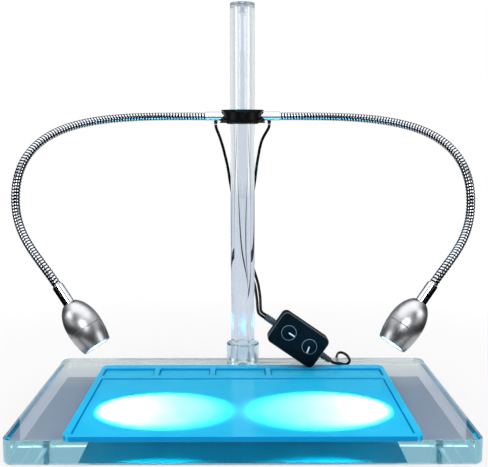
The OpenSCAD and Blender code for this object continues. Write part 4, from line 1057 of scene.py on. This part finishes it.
def boot(name, tip_r, turn, rubber, worn_and_highlit):
    """Ribbed strain relief through the case's side wall."""
    wall = CASE_W / 2
    inside = wall - CASE_WALL
    back, outside = inside - 1.5, wall + FIT
    radii = [BOOT_R + (tip_r - BOOT_R) * i / BOOT_RIBS for i in range(BOOT_RIBS)]
    outline = [
        (BOOT_BORE_R, back), (BOOT_R, back), (BOOT_R, inside - FIT), (BOOT_NECK_R, inside - FIT),
        (BOOT_NECK_R, outside),
    ]
    outline += rib_outline(outside, BOOT_L / BOOT_RIBS, radii, BOOT_RIB)
    outline.append((BOOT_BORE_R, outside + BOOT_L))
    piece = turned(name, outline, 64)
    soften(piece, 0.2, 2)

    # Pale rib shoulders: partly rubbed wear, partly painted highlight
    def on_worn_highlit_rib(at, normal):
        crest = BOOT_R + (tip_r - BOOT_R) * (at.z - wall) / BOOT_L
        return 0.2 < abs(normal.z) < 0.95 and at.z > wall and at.xy.length > crest - BOOT_RIB / 2

    two_tone(piece, rubber, worn_and_highlit, on_worn_highlit_rib)
    lie = Matrix.Rotation(math.radians(turn), 4, "Z") @ Matrix.Rotation(math.radians(90), 4, "Y")
    place(piece, DIMMER @ lie)
    dress(piece, "stand", "black_rubber", rubber, name.replace("_relief", "_boot"))


def put_light(data, at, aim):
    """Puts a light at a place, facing a point; both in metres."""
    lamp = bpy.data.objects.new(data.name, data)
    bpy.context.scene.collection.objects.link(lamp)
    way = Vector(aim) - Vector(at)
    lamp.matrix_world = Matrix.Translation(at) @ way.to_track_quat("-Z", "Y").to_matrix().to_4x4()
    return lamp


def lamp_light(name, head_place):
    """The head's own light, from just in front of its lip, which moves with the head."""
    data = bpy.data.lights.new(f"{name}_lamp_light", "SPOT")
    data.energy = LAMP_POWER
    data.color = (0.95, 0.98, 1)
    data.spot_size = math.radians(LAMP_SPREAD)
    data.spot_blend = LAMP_SOFT_RIM
    data.shadow_soft_size = 0.008
    lamp = put_light(data, head_place @ mm(0, 0, HEAD_FRONT + 1), mm(*LIT_SPOTS[name]))
    lamp.parent = frame["bodies"][f"{name}_head"]


def soft_light(name, at, aim, size, power):
    """Softbox that faces a point; places in metres."""
    data = bpy.data.lights.new(name, "AREA")
    data.shape = "RECTANGLE"
    data.size, data.size_y = size
    data.energy = power
    return put_light(data, at, aim)


def flat(low, high):
    """Corners, in metres, of an upright or lying card between its first and its last corner."""
    first, second = (axis for axis in range(3) if low[axis] != high[axis])
    corners = [Vector(low), Vector(low), Vector(low), Vector(high)]
    corners[1][first] = high[first]
    corners[2][second] = high[second]
    return corners


def card(name, material, corners):
    """Card beside the set that only shiny surfaces see, so that they show streaks."""
    bpy.ops.object.select_all(action="DESELECT")
    bpy.ops.mesh.primitive_plane_add(size=1)
    piece = fresh(name)
    for vertex, corner in zip(piece.data.vertices, corners):
        vertex.co = corner
    piece.data.materials.append(material)
    piece.visible_camera = False
    piece.visible_diffuse = False
    piece.visible_shadow = False


def flocked_card(name, colour, strength=1):
    # Flocked or white card of one even tone. Light that passes through the acrylic doesn't meet it,
    # as the set's real card stands aside of it.
    made, tree = blank_material(name)
    through = add_node(tree, "LightPath").outputs["Is Transmission Ray"]
    shown = add_node(tree, "Emission", {"Color": linear(colour), "Strength": strength})
    gone = add_node(tree, "BsdfTransparent")
    mixed = add_node(tree, "MixShader", {0: through, 1: shown, 2: gone})
    return with_surface(made, mixed)


def floor_white():
    # Matt white floor that keeps the object's shadow, and that fades to pure white away from it.
    # Through the acrylic it shows pale behind the plate, and under the mat a bluish painted shade.
    made, tree = blank_material("matt_white_floor")
    rays = add_node(tree, "LightPath").outputs
    through = rays["Is Transmission Ray"]
    seen = add_node(tree, "Math", {0: rays["Is Camera Ray"], 1: rays["Is Glossy Ray"]}, operation="MAXIMUM")
    plain = add_node(tree, "Math", {0: seen, 1: through}, operation="SUBTRACT", use_clamp=True)
    here = add_node(tree, "TexCoord").outputs["Object"]
    away = add_node(tree, "VectorMath", {0: here}, operation="LENGTH").outputs["Value"]
    fade = add_node(tree, "MapRange", {
        "Value": away, "From Min": 0.25, "From Max": 0.7, "To Min": 0.7, "To Max": 1,
    })
    share = add_node(tree, "Math", {0: plain, 1: fade}, operation="MULTIPLY")
    matt = add_node(tree, "BsdfDiffuse", {"Color": linear("#F4F4F4")})
    bright = add_node(tree, "Emission", {"Color": (1, 1, 1, 1), "Strength": 1})
    shown = add_node(tree, "MixShader", {0: share, 1: matt, 2: bright})
    depth = add_node(tree, "SeparateXYZ", {"Vector": here}).outputs["Y"]
    behind = add_node(tree, "Math", {0: depth, 1: 0.17}, operation="GREATER_THAN")
    # Painted shade: a dark blue tone stands for the mat's shadow on the floor, seen through the plate
    under_mat_painted_shade = add_node(tree, "MapRange", {
        "Value": depth, "From Min": 0.04, "From Max": 0.12, "To Min": 0.45, "To Max": 0,
    })
    for where, tone in ((behind, "#D5DDEA"), (under_mat_painted_shade, "#325C9E")):
        share = add_node(tree, "Math", {0: where, 1: through}, operation="MULTIPLY")
        light = add_node(tree, "Emission", {"Color": linear(tone), "Strength": 1})
        shown = add_node(tree, "MixShader", {0: share, 1: shown, 2: light})
    return with_surface(made, shown)


def studio_world():
    """White surroundings for the eye and gloss, a pale grey backdrop through the acrylic, and soft fill."""
    world = bpy.data.worlds.new("white_studio")
    bpy.context.scene.world = world
    world.use_nodes = True
    tree = world.node_tree
    tree.nodes.clear()
    rays = add_node(tree, "LightPath").outputs
    seen = add_node(tree, "Math", {0: rays["Is Camera Ray"], 1: rays["Is Glossy Ray"]}, operation="MAXIMUM")
    way = add_node(tree, "TexCoord").outputs["Generated"]
    depth = add_node(tree, "SeparateXYZ", {"Vector": way}).outputs["Y"]
    shade = add_node(tree, "ValToRGB", {"Fac": depth}, ((0.5, "#FFFFFF"), (0.95, "#CBD4E1")))
    fill = add_node(tree, "Background", {"Color": (1, 1, 1, 1), "Strength": 0.35})
    white = add_node(tree, "Background", {"Color": (1, 1, 1, 1), "Strength": 1})
    backdrop = add_node(tree, "Background", {"Color": shade, "Strength": 1})
    direct = add_node(tree, "MixShader", {0: seen, 1: fill, 2: white})
    mixed = add_node(tree, "MixShader", {0: rays["Is Transmission Ray"], 1: direct, 2: backdrop})
    scattered = add_node(tree, "Math", {0: rays["Diffuse Depth"], 1: 0.5}, operation="GREATER_THAN")
    lit = add_node(tree, "MixShader", {0: scattered, 1: mixed, 2: fill})
    add_node(tree, "OutputWorld", {"Surface": lit})


def set_cards():
    """Cards in front of, beside and behind the set, in metres."""
    black = flocked_card("black_flock", "#050608")
    grey = flocked_card("grey_flock", "#28303A")
    navy = flocked_card("navy_flock", "#082230")
    white = flocked_card("white_reflector", "#FFFFFF", 8)
    low = 0.001
    card("front_floor_card", black, flat((-1.8, -2.5, low), (1.8, -0.45, low)))
    card("front_strip", navy, flat((-0.4, -0.24, low), (0.4, -0.146, low)))
    card("back_card", grey, flat((-2.5, 1, 0), (2.5, 1, 0.24)))
    card("high_card", grey, [(-0.422, 1, 0.317), (0.422, 1, 0.317), (-1.78, 1, 2.2), (1.78, 1, 2.2)])
    card("front_reflector", white, flat((-0.5, -2.4, 0.85), (0.5, -2.4, 1.7)))
    card("front_card", black, flat((-0.3, -2.5, 0), (0.3, -2.5, 0.85)))
    for x in (-1, 1):
        card(f"front_card_{x}", black, flat((x * 0.3, -2.5, 0), (x * 2.2, -2.5, 1.1)))
        card(f"high_front_card_{x}", black, flat((x * 1, -2.5, 1), (x * 5, -2.5, 3.3)))
        card(f"side_floor_card_{x}", black, flat((x * 0.35, -0.45, low), (x * 1.7, 1.2, low)))
        card(f"side_card_{x}", black, flat((x * 1.7, -0.3, 0), (x * 1.7, 1.2, 1.2)))
        card(f"side_back_card_{x}", black, flat((x * 0.6, 1.2, 0.24), (x * 1.7, 1.2, 1.2)))


def set_stage():
    """White floor just under the plate, softboxes above and on both sides, and cards round the set."""
    bpy.ops.object.select_all(action="DESELECT")
    bpy.ops.mesh.primitive_plane_add(size=6, location=(0, 0, -0.0003))
    floor = fresh("floor")
    bpy.ops.object.transform_apply(location=True, rotation=True, scale=True)
    floor.data.materials.append(floor_white())
    studio_world()
    middle = (0, 0.1, 0.2)
    soft_light("overhead_softbox", (0, -0.1, 1.6), (0, 0, 0), (2.4, 1.8), 17)
    for name, arm in ARMS.items():
        x = arm["side"]
        front = soft_light(f"{name}_front_softbox", (x * 0.95, -1.15, 0.95), middle, (0.5, 0.8), 3.5)
        front.visible_glossy = False
        soft_light(f"{name}_strip", (x * 1.02, -0.52, 0.53), middle, (0.5, 0.34), 1.8)
    set_cards()


bpy.context.scene.view_settings.view_transform = "Standard"
# Light crosses the thick acrylic many times before it comes out
bpy.context.scene.cycles.max_bounces = 64
bpy.context.scene.cycles.glossy_bounces = 64
bpy.context.scene.cycles.transmission_bounces = 64
set_camera()

acrylic = cast_acrylic("cast_acrylic", "#00CFDB", 3, 0, 0.02)
column_acrylic = cast_acrylic("drawn_acrylic_tube", "#5FB7D2", 2.5, 0, 0.004)
collar_acrylic = cast_acrylic("turned_acrylic", "#00CFDB", 14, 0.01, 0.02)
cap_acrylic = cast_acrylic("polished_acrylic_disc", "#2C7490", 26, 0, 0.01)
silicone = silicone_rubber("moulded_silicone_rubber", "#1EB8F0", "#32C4F6", 0.06, 0.35, 0.0025)
# Paler copy of the silicone for the underside: bonded, it has no gloss; its paler colour is painted light for
# the glow through the mat
bonded_silicone_painted_glow = silicone_rubber("bonded_silicone_with_painted_glow", "#7CC4DC", "#8ACDE2", 0, 1, 0.008)
# Darker copy of the blue silicone: painted shade for the mat's sides and gutters
painted_shade_silicone = silicone_rubber("silicone_rubber_with_painted_shade", "#0A8CCC", "#1096D6", 0.06, 0.2, 0.0025)
hub_plastic = moulded_black("moulded_black_nylon", "#08090B", 0.3, 0.1, 0.8, 0.1)
case_plastic = moulded_black("moulded_black_abs", "#08090D", 0.4, 0.03, 0.6, 0.12)
knob_plastic = moulded_black("moulded_knob_plastic", "#06070A", 0.34, 0.03, 0.5, 0.08)
rubber = moulded_black("moulded_black_rubber", "#090A0C", 0.36, 0.5, 0.7, 0.12)
pvc = moulded_black("extruded_black_pvc", "#07080A", 0.3, 0.12, 1.2, 0.06)
glossy_pvc = moulded_black("extruded_glossy_pvc", "#050608", 0.2, 0.25, 1.2, 0.05)
nylon = moulded_black("machined_nylon", "#2A2B2E", 0.4, 0.4, 0.6, 0.1)
lip_black = moulded_black("black_anodised_lip", "#060708", 0.5, 0.05, 0.4, 0.05)
chrome = bright_metal("polished_chrome", "#E6E8EC", 0.06)
# Black plastic and rubber are painted pale along their edges: partly rubbed wear, partly painted highlight
worn_and_highlit_plastic = painted("black_plastic_worn_and_painted_highlight", "#8C9096", 0.35, 2)
worn_and_highlit_rubber = painted("black_rubber_worn_and_painted_highlight", "#A0A4AA", 0.5, 2)
screw_steel = bright_metal("black_oxide_steel", "#5A5B5E", 0.3)
plug_steel = bright_metal("nickel_plated_steel", "#C9C7C1", 0.2)
reflector_plate = bright_metal("vapour_coated_reflector", "#EDEEF0", 0.08)
neck_steel = wound_steel()
aluminium = turned_aluminium()
glow = lit_lens()
pointer_paint = painted("white_pointer_paint", "#F1F2F2", 0.45, 2)
board_green = painted("green_solder_mask", "#14532F", 0.35, 4)
board_white = painted("white_solder_mask", "#E4E5E2", 0.4, 4)
diode_resin = painted("yellow_phosphor_resin", "#E9C94A", 0.3, 1)
pot_plastic = painted("grey_phenolic", "#5C6670", 0.5, 2)

leads(pvc)
supply_cord(glossy_pvc, rubber, rubber)
base_plate(acrylic)
work_mat(silicone, bonded_silicone_painted_glow, painted_shade_silicone)
column(column_acrylic, collar_acrylic, cap_acrylic)
hub(hub_plastic)
longest = max(neck_points(arm)[1][-1] for arm in ARMS.values())
straight_neck = wound_tube(longest)
for name, arm in ARMS.items():
    aim = arm["aim"]
    head_place = (
        Matrix.Translation(mm(*arm["end"]))
        @ Matrix.Rotation(math.atan2(aim.y, aim.x), 4, "Z")
        @ Matrix.Rotation(math.acos(aim.z), 4, "Y")
    )
    neck(name, arm, straight_neck, neck_steel)
    ferrules(name, arm, head_place, chrome)
    lamp_head(name, head_place, aluminium, lip_black, glow)
    lamp_light(name, head_place)
    grommet(name, arm, rubber)
    knob(name, knob_plastic, worn_and_highlit_plastic, pointer_paint)
bpy.data.objects.remove(straight_neck)
case_half("dimmer_case_face", "dimmer_case_front", True, case_plastic, worn_and_highlit_plastic)
case_half("dimmer_case_rear", "dimmer_case_back", False, case_plastic, worn_and_highlit_plastic)
boot("inlet_relief", BOOT_R, 180, rubber, worn_and_highlit_rubber)
boot("outlet_relief", BOOT_TIP_R, 0, rubber, worn_and_highlit_rubber)

dress_node("hub_bush", nylon)
dress_node("clamp_screw", screw_steel)
dress_node("ferrule_set_screws", screw_steel)
dress_node("case_screws", screw_steel)
dress_node("dimmer_board", board_green)
dress_node("usb_plug_shell", plug_steel)
for name in ARMS:
    dress_node(f"{name}_reflector", reflector_plate)
    dress_node(f"{name}_led_board", board_white)
    dress_node(f"{name}_led", diode_resin)
    dress_node(f"{name}_pot", pot_plastic)

set_stage()
